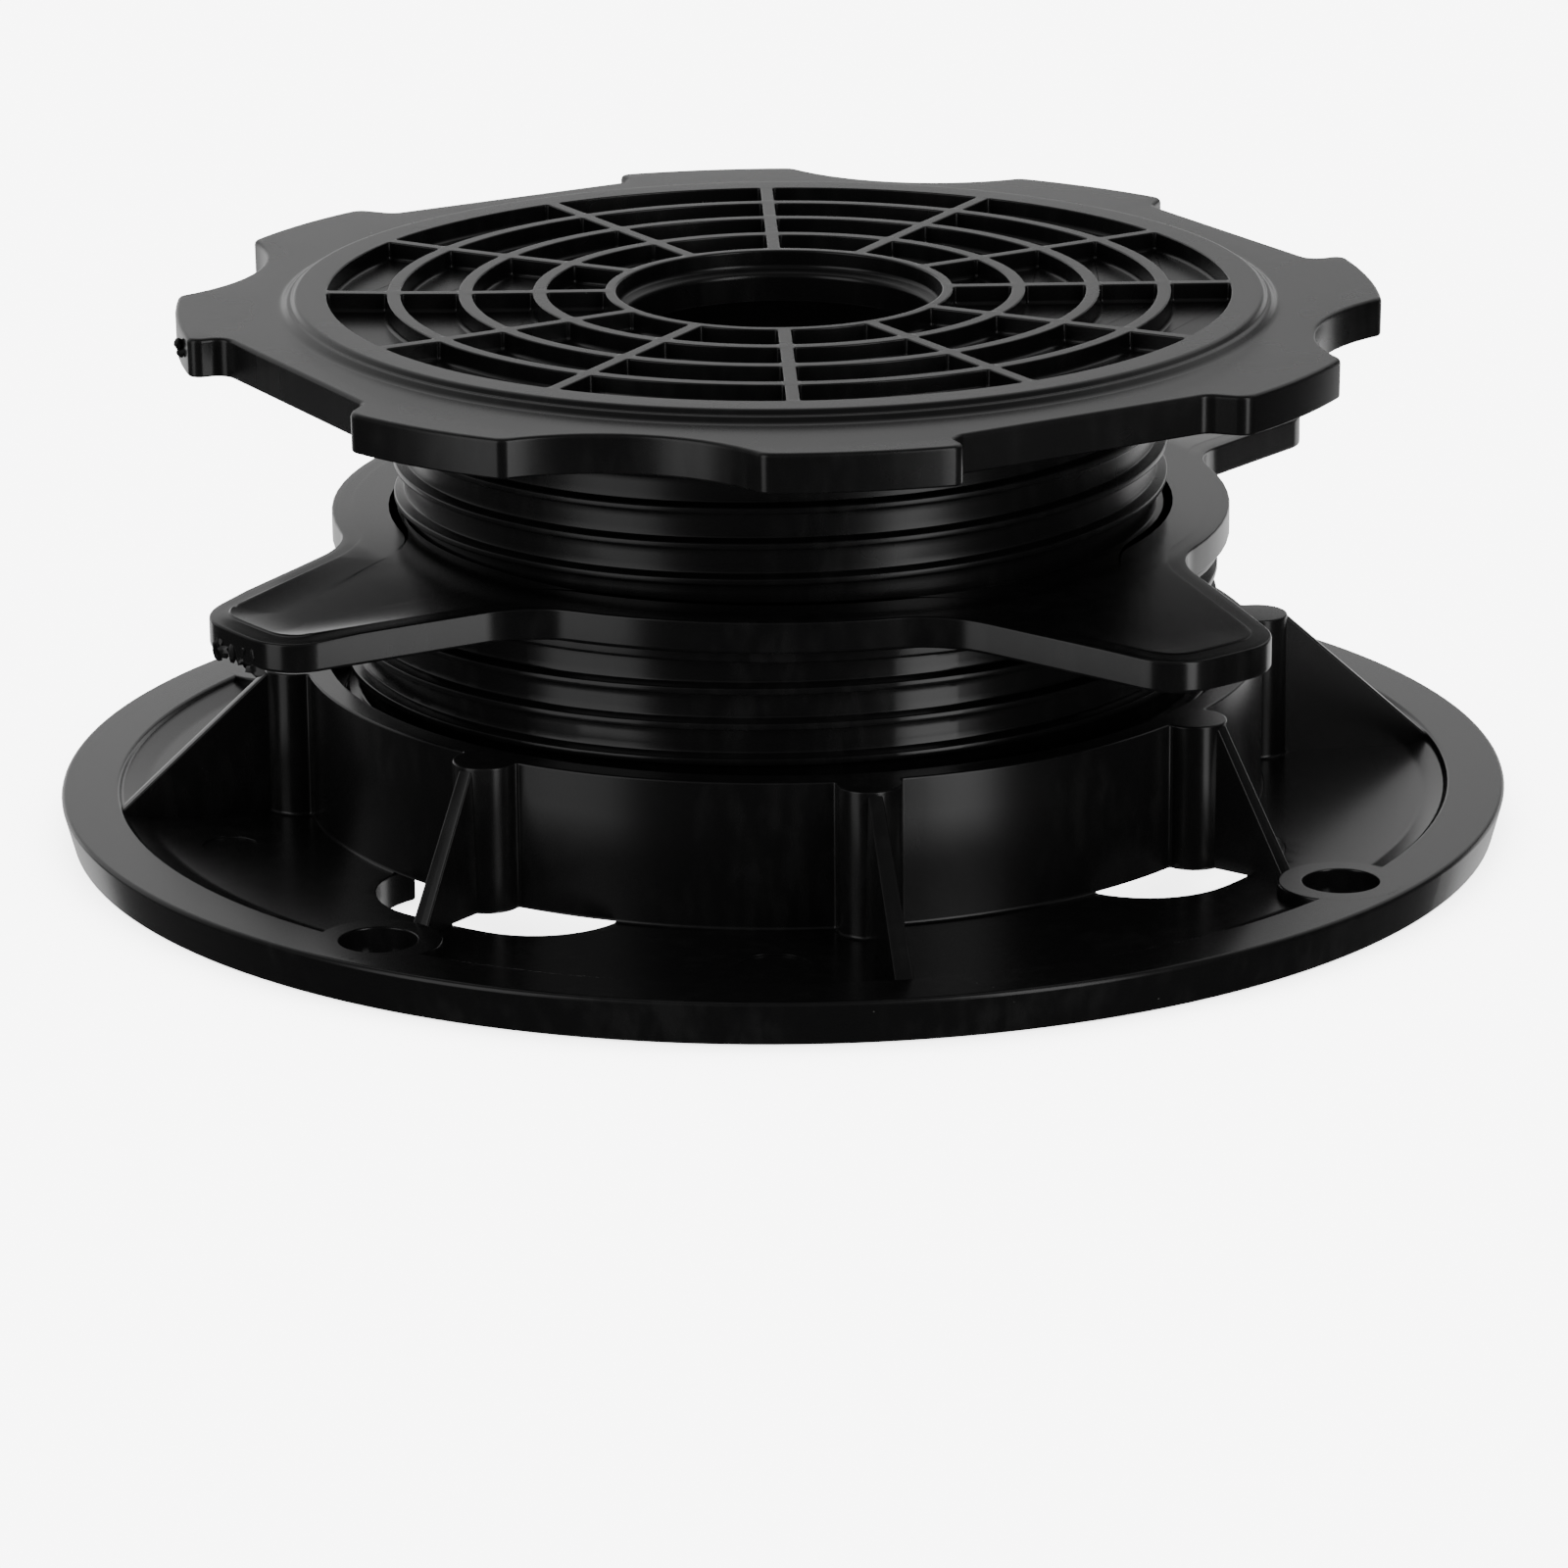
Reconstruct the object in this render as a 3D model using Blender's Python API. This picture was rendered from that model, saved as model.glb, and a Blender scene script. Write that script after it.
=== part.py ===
"""Decking pedestal in black moulded plastic, in metres, +Z up, with the base resting on z = 0.

Three mouldings share one upright axis: a round base with a threaded collar, an adjusting ring
with four lobes that is threaded inside and outside, and a ribbed head on a threaded stem.
Angles are in degrees, anticlockwise seen from above, and 0 points along +X.
"""

import math

import bmesh
import bpy
from mathutils import Vector

# Threads: every ridge is right-handed with one start
THREAD_PITCH = 0.0048
THREAD_DEPTH = 0.0015
THREAD_CREST_WIDTH = 0.0009
THREAD_ROOT_WIDTH = 0.0015
THREAD_LOAD_GAP = 0.0004
THREAD_ROOT_GAP = 0.0005
THREAD_CREST_GAP = 0.0009
THREAD_END_MARGIN = 0.0012
INNER_THREAD_DROP = 0.0023
OUTER_THREAD_DROP = 0.0043
THREAD_TAPER_STEPS = 4
THREAD_EMBED = 0.0006

# Base plate
BASE_DRAFT = 0.0016
RIM_HEIGHT = 0.0061
RIM_WIDTH = 0.0080
RIM_EDGE = 0.0005
RIM_STEP_DEPTH = 0.0009
RIM_STEP_RUN = 0.0005
RIM_COVE_RUN = 0.0030
FLOOR_THICKNESS = 0.0045
FLOOR_WIDTH = 0.0257

# Collar, its pillars and their gussets
COLLAR_HEIGHT = 0.0246
COLLAR_WALL = 0.0035
COLLAR_RUNNING_GAP = 0.0028
COLLAR_THREAD_GAP = 0.0005
PILLAR_COUNT = 8
PILLAR_ANGLE = 9.6
PILLAR_RADIUS = 0.0043
PILLAR_PROTRUSION = 0.0010
GUSSET_THICKNESS = 0.0023
GUSSET_DROP = 0.0006
GUSSET_EMBED = 0.0015

# Screw holes in the rim, and the drain slots beside the collar
SCREW_COUNT = 4
SCREW_ANGLE = -35.5
SCREW_HOLE_RADIUS = 0.00505
SCREW_INSET = 0.0097
BOSS_WALL = 0.0033
SLOT_WIDTH = 0.0100
SLOT_HALF_ANGLE = 16.4
SLOT_CORNER_RADIUS = 0.0125
SLOT_HEADROOM = 0.0002

# Adjusting ring
RING_SETTING = 0.0159
RING_WALL = 0.0044
RING_THREAD_DEPTH = 0.0017
RING_SLEEVE_DEPTH = 0.0250
RING_NECK_DROP = 0.0016
RING_NECK_WALL = 0.0022
RING_WAIST_STEP = 0.0011
RING_FLANGE_THICKNESS = 0.0044
RING_FLANGE_SLOPE = 0.0018
LOBE_COUNT = 4
LOBE_ANGLE = 39.1
LOBE_REACH = 0.0914
LOBE_TIP_HALF_WIDTH = 0.0118
LOBE_FLANK_SPREAD = 0.0100
LOBE_CORNER_RADIUS = 0.0055
LOBE_FILLET_RADIUS = 0.0150
LIP_WIDTH = 0.0035
LIP_DEPTH = 0.0014

# Head
HEAD_SETTING = 0.0226
STEM_CREST_RADIUS = 0.0530
STEM_WALL = 0.0033
STEM_LENGTH = 0.0290
HEAD_RADIUS = 0.0820
HEAD_FLANGE_THICKNESS = 0.0053
HEAD_RAISE = 0.0016
RAISED_RADIUS = 0.0661
RAISED_LEDGE_WIDTH = 0.0010
RAISED_LEDGE_DROP = 0.0007
FIELD_RADIUS = 0.0615
FIELD_DEPTH = 0.0026
RIB_RADII = (0.0326, 0.0427, 0.0524)
RIB_WIDTH = 0.0019
SPOKE_COUNT = 12
SPOKE_ANGLE = 1.6
SPOKE_WIDTH = 0.0018
HUB_BORE_RADIUS = 0.0222
HUB_RIB_WIDTH = 0.0015
HUB_LEDGE_WIDTH = 0.0016
HUB_LEDGE_DEPTH = 0.0024
HUB_LEDGE_FALL = 0.0007

# Head outline, repeated for each of its four sides
SIDE_COUNT = 4
SCALLOP_ANGLE = -13.5
SCALLOP_HALF_ANGLE = 12.0
SCALLOP_DEPTH = 0.0077
FLAT_ANGLE = 31.0
FLAT_HALF_ANGLE = 14.8
FLAT_DISTANCE = 0.0745
FLAT_STEP_SLANT = 1.6
FLAT_STEP_LEAN = 0.6

# Facets
ROUND_SEGMENTS = 72
THREAD_SEGMENTS = 40
SMALL_SEGMENTS = 20
SMOOTH_ANGLE = math.radians(28)
OVERSHOOT = 0.0020

# Sizes that follow from the ones above, from the stem outwards
STEM_ROOT_RADIUS = STEM_CREST_RADIUS - THREAD_DEPTH
STEM_BORE_RADIUS = STEM_ROOT_RADIUS - STEM_WALL
SLEEVE_BORE_RADIUS = STEM_CREST_RADIUS + THREAD_CREST_GAP
SLEEVE_INNER_CREST = STEM_ROOT_RADIUS + THREAD_ROOT_GAP
SLEEVE_ROOT_RADIUS = SLEEVE_BORE_RADIUS + RING_WALL
SLEEVE_CREST_RADIUS = SLEEVE_ROOT_RADIUS + RING_THREAD_DEPTH
RING_NECK_RADIUS = SLEEVE_ROOT_RADIUS + RING_NECK_WALL
RING_WAIST_RADIUS = RING_NECK_RADIUS + RING_WAIST_STEP
COLLAR_BORE_RADIUS = SLEEVE_CREST_RADIUS + COLLAR_RUNNING_GAP
COLLAR_CREST_RADIUS = SLEEVE_CREST_RADIUS + COLLAR_THREAD_GAP
COLLAR_RADIUS = COLLAR_BORE_RADIUS + COLLAR_WALL
RIM_INNER_RADIUS = COLLAR_RADIUS + FLOOR_WIDTH
BASE_RADIUS = RIM_INNER_RADIUS + RIM_WIDTH
PILLAR_CENTRE = COLLAR_RADIUS + PILLAR_PROTRUSION
SCREW_CENTRE = BASE_RADIUS - SCREW_INSET
BOSS_RADIUS = SCREW_HOLE_RADIUS + BOSS_WALL
RING_Z = COLLAR_HEIGHT + RING_SETTING
RING_TOP = RING_FLANGE_THICKNESS
INNER_THREAD_PHASE = RING_TOP - INNER_THREAD_DROP
OUTER_THREAD_PHASE = -OUTER_THREAD_DROP
HEAD_Z = RING_Z + RING_TOP + HEAD_SETTING
HEAD_TOP = HEAD_FLANGE_THICKNESS + HEAD_RAISE
FIELD_FLOOR = HEAD_TOP - FIELD_DEPTH
HUB_RIB_RADIUS = HUB_BORE_RADIUS + HUB_RIB_WIDTH
RIDGE_SPACING = (THREAD_CREST_WIDTH + THREAD_ROOT_WIDTH) / 2 + THREAD_LOAD_GAP


def clear_scene():
    """Removes what the startup file holds."""
    for item in list(bpy.data.objects):
        bpy.data.objects.remove(item, do_unlink=True)


def polar(radius, degrees):
    """The plan point at this radius and angle."""
    angle = math.radians(degrees)
    return Vector((radius * math.cos(angle), radius * math.sin(angle)))


def arc(centre, radius, start, end, steps):
    """Plan points from angle start to angle end around centre, both ends included."""
    return [centre + polar(radius, start + (end - start) * i / steps) for i in range(steps + 1)]


def heading(vector):
    """The angle of a plan vector, in degrees."""
    return math.degrees(math.atan2(vector.y, vector.x))


def turned(points, degrees):
    """Plan points turned about the axis."""
    angle = math.radians(degrees)
    cos, sin = math.cos(angle), math.sin(angle)
    return [Vector((p.x * cos - p.y * sin, p.x * sin + p.y * cos)) for p in points]


def plastic(name, colour, roughness):
    """A black polypropylene finish."""
    material = bpy.data.materials.new(name)
    material.use_nodes = True
    shader = material.node_tree.nodes["Principled BSDF"]
    shader.inputs["Base Color"].default_value = (*colour, 1.0)
    shader.inputs["Roughness"].default_value = roughness
    shader.inputs["Metallic"].default_value = 0.0
    material.diffuse_color = (*colour, 1.0)
    return material


def place(name, bm):
    """Makes an object of the bmesh, with its faces pointing out."""
    bmesh.ops.recalc_face_normals(bm, faces=bm.faces)
    mesh = bpy.data.meshes.new(name)
    bm.to_mesh(mesh)
    bm.free()
    item = bpy.data.objects.new(name, mesh)
    bpy.context.scene.collection.objects.link(item)
    return item


def finish(item, material, height):
    """Stands the piece at its height and dresses it."""
    item.location.z = height
    item.data.materials.append(material)
    item.data.shade_smooth()
    item.data.set_sharp_from_angle(angle=SMOOTH_ANGLE)
    return item


def combine(item, operation, tool):
    """Adds the tool to the item or cuts it away, with the tool kept as a hidden guide."""
    tool.parent = item
    tool.hide_render = True
    tool.display_type = "WIRE"
    modifier = item.modifiers.new(tool.name, "BOOLEAN")
    modifier.operation = operation
    modifier.solver = "EXACT"
    modifier.object = tool


def add_rings(bm, rings, closed_round):
    """Skins rings of points into quads and returns the rings of vertices."""
    made = [[bm.verts.new(point) for point in ring] for ring in rings]
    count = len(made[0])
    spans = len(made) if closed_round else len(made) - 1
    for i in range(spans):
        here, there = made[i], made[(i + 1) % len(made)]
        for j in range(count):
            k = (j + 1) % count
            bm.faces.new((here[j], here[k], there[k], there[j]))
    return made


def turn_profile(name, profile, segments):
    """A solid of revolution from a closed section of (radius, height) points."""
    bm = bmesh.new()
    rings = []
    for i in range(segments):
        angle = 2 * math.pi * i / segments
        rings.append([(r * math.cos(angle), r * math.sin(angle), z) for r, z in profile])
    add_rings(bm, rings, closed_round=True)
    return place(name, bm)


def add_prism(bm, outline, low, high):
    """An upright prism on a plan outline."""
    rings = [[(p.x, p.y, z) for p in outline] for z in (low, high)]
    lower, upper = add_rings(bm, rings, closed_round=False)
    bm.faces.new(lower)
    bm.faces.new(upper)


def prisms(name, outlines, low, high):
    """One object that holds a prism for each outline."""
    bm = bmesh.new()
    for outline in outlines:
        add_prism(bm, outline, low, high)
    return place(name, bm)


def discs(name, count, first_angle, distance, radius, low, high):
    """Upright round pins, spaced evenly around the axis."""
    outlines = []
    for i in range(count):
        centre = polar(distance, first_angle + 360 * i / count)
        outlines.append(arc(centre, radius, 0, 360, SMALL_SEGMENTS)[:-1])
    return prisms(name, outlines, low, high)


def ridge_section(root, crest, outward, height, angle):
    """The four corners of the ridge where it crosses this angle, its foot sunk in the wall."""
    foot = root - outward * THREAD_EMBED
    flat, wide = THREAD_CREST_WIDTH / 2, THREAD_ROOT_WIDTH / 2
    corners = ((foot, -wide), (crest, -flat), (crest, flat), (foot, wide))
    cos, sin = math.cos(angle), math.sin(angle)
    return [(r * cos, r * sin, height + z) for r, z in corners]


def helical_ridge(name, root, crest, low, high, phase):
    """A thread ridge between two heights, crossing angle 0 at height phase, with its ends run out."""
    rise = THREAD_PITCH / THREAD_SEGMENTS
    first = math.ceil((low + THREAD_END_MARGIN - phase) / rise)
    last = math.floor((high - THREAD_END_MARGIN - phase) / rise)
    outward = math.copysign(1, crest - root)
    start = root - outward * THREAD_EMBED / 3
    rings = []
    for i in range(first, last + 1):
        grown = min(i - first, last - i, THREAD_TAPER_STEPS) / THREAD_TAPER_STEPS
        radius = start + (crest - start) * grown
        angle = 2 * math.pi * i / THREAD_SEGMENTS
        rings.append(ridge_section(root, radius, outward, phase + rise * i, angle))
    bm = bmesh.new()
    made = add_rings(bm, rings, closed_round=False)
    bm.faces.new(made[0])
    bm.faces.new(made[-1])
    return place(name, bm)


def base_section():
    """The plate and collar, as (radius, height) points."""
    step_radius = RIM_INNER_RADIUS - RIM_STEP_RUN
    return [
        (COLLAR_BORE_RADIUS, 0),
        (BASE_RADIUS - BASE_DRAFT, 0),
        (BASE_RADIUS, RIM_HEIGHT - RIM_EDGE),
        (BASE_RADIUS - RIM_EDGE, RIM_HEIGHT),
        (RIM_INNER_RADIUS, RIM_HEIGHT),
        (step_radius, RIM_HEIGHT - RIM_STEP_DEPTH),
        (step_radius - RIM_COVE_RUN, FLOOR_THICKNESS),
        (COLLAR_RADIUS, FLOOR_THICKNESS),
        (COLLAR_RADIUS, COLLAR_HEIGHT),
        (COLLAR_BORE_RADIUS, COLLAR_HEIGHT),
    ]


def slot_outline(angle):
    """A drain slot that runs out from under the collar, with its outer corners rounded."""
    axis = Vector((0, 0))
    reach = COLLAR_RADIUS + SLOT_WIDTH
    middle = reach - SLOT_CORNER_RADIUS
    inset = math.degrees(math.asin(SLOT_CORNER_RADIUS / middle))
    left, right = angle + SLOT_HALF_ANGLE, angle - SLOT_HALF_ANGLE
    corners = (right + inset, left - inset)
    points = arc(axis, COLLAR_BORE_RADIUS - OVERSHOOT, left, right, 6)
    points += arc(polar(middle, corners[0]), SLOT_CORNER_RADIUS, right - 90, corners[0], 6)
    points += arc(axis, reach, *corners, 6)[1:-1]
    points += arc(polar(middle, corners[1]), SLOT_CORNER_RADIUS, corners[1], left + 90, 6)
    return points


def gusset_side(foot_radius):
    """The upright face of a gusset, as (radius, height) points."""
    outer = PILLAR_CENTRE + PILLAR_RADIUS
    top = COLLAR_HEIGHT - GUSSET_DROP
    bottom = FLOOR_THICKNESS - GUSSET_EMBED
    return [
        (PILLAR_CENTRE, bottom),
        (foot_radius + GUSSET_EMBED, bottom),
        (foot_radius + GUSSET_EMBED, RIM_HEIGHT - GUSSET_DROP),
        (foot_radius, RIM_HEIGHT - GUSSET_DROP),
        (outer, top),
        (PILLAR_CENTRE, top),
    ]


def is_screw_pillar(angle):
    """Whether a screw hole lies straight outside this pillar."""
    step = 360 / SCREW_COUNT
    offset = (angle - SCREW_ANGLE + step / 2) % step - step / 2
    return abs(offset) < step / 8


def gussets():
    """One thin upright web from each pillar down to the rim, or to the screw boss in its way."""
    bm = bmesh.new()
    half = GUSSET_THICKNESS / 2
    for i in range(PILLAR_COUNT):
        degrees = PILLAR_ANGLE + 360 * i / PILLAR_COUNT
        foot = SCREW_CENTRE - BOSS_RADIUS if is_screw_pillar(degrees) else RIM_INNER_RADIUS
        along = polar(1, degrees)
        across = polar(half, degrees + 90)
        rings = []
        for side in (-across, across):
            rings.append([(*(along * r + side), z) for r, z in gusset_side(foot)])
        left, right = add_rings(bm, rings, closed_round=False)
        bm.faces.new(left)
        bm.faces.new(right)
    return place("base_gussets", bm)


def make_base():
    """The base: plate, rim, collar with its thread, pillars, gussets, screw bosses and slots."""
    base = turn_profile("base", base_section(), ROUND_SEGMENTS)
    sunk = FLOOR_THICKNESS / 2
    pillars = discs(
        "base_pillars", PILLAR_COUNT, PILLAR_ANGLE, PILLAR_CENTRE, PILLAR_RADIUS, sunk, COLLAR_HEIGHT
    )
    combine(base, "UNION", pillars)
    bosses = discs(
        "base_bosses", SCREW_COUNT, SCREW_ANGLE, SCREW_CENTRE, BOSS_RADIUS, sunk, RIM_HEIGHT
    )
    combine(base, "UNION", bosses)
    outlines = [slot_outline(SCREW_ANGLE + 360 * i / SCREW_COUNT) for i in range(SCREW_COUNT)]
    slots = prisms("base_slots", outlines, -OVERSHOOT, FLOOR_THICKNESS + SLOT_HEADROOM)
    combine(base, "DIFFERENCE", slots)
    combine(base, "UNION", gussets())
    holes = discs(
        "base_screw_holes",
        SCREW_COUNT,
        SCREW_ANGLE,
        SCREW_CENTRE,
        SCREW_HOLE_RADIUS,
        -OVERSHOOT,
        RIM_HEIGHT + OVERSHOOT,
    )
    combine(base, "DIFFERENCE", holes)
    phase = RING_Z + OUTER_THREAD_PHASE - RIDGE_SPACING
    thread = helical_ridge(
        "base_thread", COLLAR_BORE_RADIUS, COLLAR_CREST_RADIUS, FLOOR_THICKNESS, COLLAR_HEIGHT, phase
    )
    combine(base, "UNION", thread)
    return base


def sleeve_section():
    """The ring's sleeve with its thicker neck, as (radius, height) points."""
    return [
        (SLEEVE_BORE_RADIUS, -RING_SLEEVE_DEPTH),
        (SLEEVE_ROOT_RADIUS, -RING_SLEEVE_DEPTH),
        (SLEEVE_ROOT_RADIUS, -RING_NECK_DROP),
        (RING_NECK_RADIUS, -RING_NECK_DROP),
        (RING_NECK_RADIUS, 0),
        (RING_WAIST_RADIUS, 0),
        (RING_WAIST_RADIUS, RING_TOP),
        (SLEEVE_BORE_RADIUS, RING_TOP),
    ]


def flange_height(radius):
    """How far the flange has fallen at this radius, from the waist to the lobe tips."""
    return -RING_FLANGE_SLOPE * (radius - RING_WAIST_RADIUS) / (LOBE_REACH - RING_WAIST_RADIUS)


def flange_section():
    """The sloping plate that the lobes are cut from, as (radius, height) points."""
    inner = SLEEVE_BORE_RADIUS + RING_WALL / 2
    outer = LOBE_REACH + OVERSHOOT
    fall = flange_height(outer)
    return [
        (inner, 0),
        (RING_WAIST_RADIUS, 0),
        (outer, fall),
        (outer, fall + RING_FLANGE_THICKNESS),
        (RING_WAIST_RADIUS, RING_TOP),
        (inner, RING_TOP),
    ]


def dish_section():
    """What is scooped out of the top of the lobes, as (radius, height) points."""
    start = RING_WAIST_RADIUS
    lowest = LOBE_REACH - 2 * LIP_WIDTH
    return [
        (start, RING_TOP),
        (lowest, RING_TOP + flange_height(lowest) - LIP_DEPTH),
        (LOBE_REACH, RING_TOP + flange_height(LOBE_REACH) - LIP_DEPTH),
        (LOBE_REACH, RING_TOP + OVERSHOOT),
        (start, RING_TOP + OVERSHOOT),
    ]


def lobe_side(inset):
    """Half a lobe's outline, from its tip along the flank to the waist, pointing along +X."""
    reach = LOBE_REACH - inset
    corner = max(LOBE_CORNER_RADIUS - inset, LOBE_CORNER_RADIUS / 4)
    fillet = LOBE_FILLET_RADIUS + inset
    waist = RING_WAIST_RADIUS
    run = LOBE_REACH - RING_WAIST_RADIUS
    flank = Vector((-run, LOBE_FLANK_SPREAD)).normalized()
    side = Vector((-flank.y, flank.x)) * -1
    edge = Vector((LOBE_REACH - LOBE_CORNER_RADIUS, LOBE_TIP_HALF_WIDTH)) - side * inset
    corner_centre = on_line_at(edge - side * corner, flank, reach - corner)
    fillet_centre = on_line_at(edge + side * fillet, flank, waist + fillet)
    points = arc(corner_centre, corner, heading(corner_centre), heading(side), 3)
    end = heading(-fillet_centre) % 360
    points += arc(fillet_centre, fillet, heading(-side) % 360, end, 5)
    return points


def on_line_at(point, direction, distance):
    """The point on a line that lies this far from the axis, on the outer side."""
    along = point.dot(direction)
    short = point - direction * along
    return short - direction * math.sqrt(max(distance**2 - short.length_squared, 0))


def lobe_outline(angle, inset):
    """A whole lobe, closed across the sleeve's wall."""
    upper = lobe_side(inset)
    lower = [Vector((p.x, -p.y)) for p in reversed(upper)]
    start = heading(upper[-1])
    wall = arc(Vector((0, 0)), SLEEVE_BORE_RADIUS + RING_WALL / 4, start, -start, 6)
    return turned(lower + upper + wall, angle)


def dish_outline(angle):
    """The inside of a lobe's lip, closed along the neck."""
    upper = [p for p in lobe_side(LIP_WIDTH) if p.length > RING_WAIST_RADIUS + LIP_WIDTH / 4]
    lower = [Vector((p.x, -p.y)) for p in reversed(upper)]
    start = heading(upper[-1])
    wall = arc(Vector((0, 0)), RING_WAIST_RADIUS + LIP_WIDTH / 8, start, -start, 6)
    return turned(lower + upper + wall, angle)


def lobe_angles():
    """The direction of each lobe."""
    return [LOBE_ANGLE + 360 * i / LOBE_COUNT for i in range(LOBE_COUNT)]


def make_ring():
    """The adjusting ring: sleeve, both threads and the four dished lobes."""
    ring = turn_profile("adjusting_ring", sleeve_section(), THREAD_SEGMENTS)
    outlines = [lobe_outline(angle, 0) for angle in lobe_angles()]
    lobes = prisms("ring_lobes", outlines, -OVERSHOOT * 2, RING_TOP + OVERSHOOT)
    combine(lobes, "INTERSECT", turn_profile("ring_flange", flange_section(), ROUND_SEGMENTS))
    hollows = [dish_outline(angle) for angle in lobe_angles()]
    dishes = prisms("ring_dishes", hollows, -OVERSHOOT, RING_TOP + OVERSHOOT * 2)
    combine(dishes, "INTERSECT", turn_profile("ring_scoop", dish_section(), ROUND_SEGMENTS))
    combine(lobes, "DIFFERENCE", dishes)
    combine(ring, "UNION", lobes)
    outer = helical_ridge(
        "ring_outer_thread",
        SLEEVE_ROOT_RADIUS,
        SLEEVE_CREST_RADIUS,
        -RING_SLEEVE_DEPTH,
        -RING_NECK_DROP,
        OUTER_THREAD_PHASE,
    )
    combine(ring, "UNION", outer)
    inner = helical_ridge(
        "ring_inner_thread",
        SLEEVE_BORE_RADIUS,
        SLEEVE_INNER_CREST,
        -RING_SLEEVE_DEPTH,
        RING_TOP,
        INNER_THREAD_PHASE,
    )
    combine(ring, "UNION", inner)
    return ring


def scallop_points(angle):
    """A concave bite between two tabs, clockwise end first."""
    half_chord = HEAD_RADIUS * math.sin(math.radians(SCALLOP_HALF_ANGLE))
    chord_distance = HEAD_RADIUS * math.cos(math.radians(SCALLOP_HALF_ANGLE))
    sagitta = chord_distance - (HEAD_RADIUS - SCALLOP_DEPTH)
    radius = (half_chord**2 + sagitta**2) / (2 * sagitta)
    centre = polar(chord_distance - sagitta + radius, angle)
    spread = math.degrees(math.asin(half_chord / radius))
    return arc(centre, radius, angle + 180 + spread, angle + 180 - spread, 8)


def flat_points(angle):
    """A straight stretch set in from the tabs, with a step at each end, clockwise end first."""
    end_radius = FLAT_DISTANCE / math.cos(math.radians(FLAT_HALF_ANGLE))
    low, high = angle - FLAT_HALF_ANGLE, angle + FLAT_HALF_ANGLE
    return [
        polar(HEAD_RADIUS, low + FLAT_STEP_LEAN),
        polar(end_radius, low),
        polar(end_radius, high),
        polar(HEAD_RADIUS, high + FLAT_STEP_SLANT),
    ]


def head_outline():
    """The head's plan: on each side a scallop, a tab, a flat and another tab."""
    step = 360 / SIDE_COUNT
    axis = Vector((0, 0))
    points = []
    for i in range(SIDE_COUNT):
        scallop, flat = SCALLOP_ANGLE + step * i, FLAT_ANGLE + step * i
        points += scallop_points(scallop)
        first_tab = (scallop + SCALLOP_HALF_ANGLE, flat - FLAT_HALF_ANGLE + FLAT_STEP_LEAN)
        second_tab = (flat + FLAT_HALF_ANGLE + FLAT_STEP_SLANT, scallop + step - SCALLOP_HALF_ANGLE)
        points += arc(axis, HEAD_RADIUS, *first_tab, 4)[1:-1]
        points += flat_points(flat)
        points += arc(axis, HEAD_RADIUS, *second_tab, 4)[1:-1]
    return points


def raised_section():
    """The raised round field with its stepped edge, turned around the axis, as (radius, height)."""
    ledge = RAISED_RADIUS + RAISED_LEDGE_WIDTH
    low = HEAD_FLANGE_THICKNESS / 2
    inner = HUB_BORE_RADIUS - HUB_LEDGE_WIDTH - OVERSHOOT
    return [
        (inner, low),
        (ledge, low),
        (ledge, HEAD_TOP - RAISED_LEDGE_DROP),
        (RAISED_RADIUS, HEAD_TOP - RAISED_LEDGE_DROP),
        (RAISED_RADIUS, HEAD_TOP),
        (inner, HEAD_TOP),
    ]


def pocket_outline(inner, outer, spoke_angle):
    """A hollow between two round ribs and two spokes that keep their width."""
    half = SPOKE_WIDTH / 2
    step = 360 / SPOKE_COUNT
    axis = Vector((0, 0))
    near = math.degrees(math.asin(half / inner))
    far = math.degrees(math.asin(half / outer))
    points = arc(axis, outer, spoke_angle + far, spoke_angle + step - far, 4)
    points += arc(axis, inner, spoke_angle + step - near, spoke_angle + near, 4)
    return points


def pockets():
    """The hollows of the ribbed field, band by band from the hub outwards."""
    half = RIB_WIDTH / 2
    inner_edges = [HUB_RIB_RADIUS] + [radius + half for radius in RIB_RADII]
    outer_edges = [radius - half for radius in RIB_RADII] + [FIELD_RADIUS]
    outlines = []
    for inner, outer in zip(inner_edges, outer_edges):
        for i in range(SPOKE_COUNT):
            outlines.append(pocket_outline(inner, outer, SPOKE_ANGLE + 360 * i / SPOKE_COUNT))
    return prisms("head_pockets", outlines, FIELD_FLOOR, HEAD_TOP + OVERSHOOT)


def hub_section():
    """The hub's bore with the ledge inside it, as (radius, height) points of a solid plug."""
    ledge = HEAD_TOP - HUB_LEDGE_DEPTH
    narrow = HUB_BORE_RADIUS - HUB_LEDGE_WIDTH
    core = narrow / 4
    return [
        (core, -OVERSHOOT),
        (narrow, -OVERSHOOT),
        (narrow, ledge - HUB_LEDGE_FALL),
        (HUB_BORE_RADIUS, ledge),
        (HUB_BORE_RADIUS, HEAD_TOP + OVERSHOOT),
        (core, HEAD_TOP + OVERSHOOT),
    ]


def stem_section():
    """The head's hollow stem, as (radius, height) points."""
    top = HEAD_FLANGE_THICKNESS / 4
    return [
        (STEM_BORE_RADIUS, -STEM_LENGTH),
        (STEM_ROOT_RADIUS, -STEM_LENGTH),
        (STEM_ROOT_RADIUS, top),
        (STEM_BORE_RADIUS, top),
    ]


def round_outline(radius, segments):
    """A whole circle about the axis."""
    return arc(Vector((0, 0)), radius, 0, 360, segments)[:-1]


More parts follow.
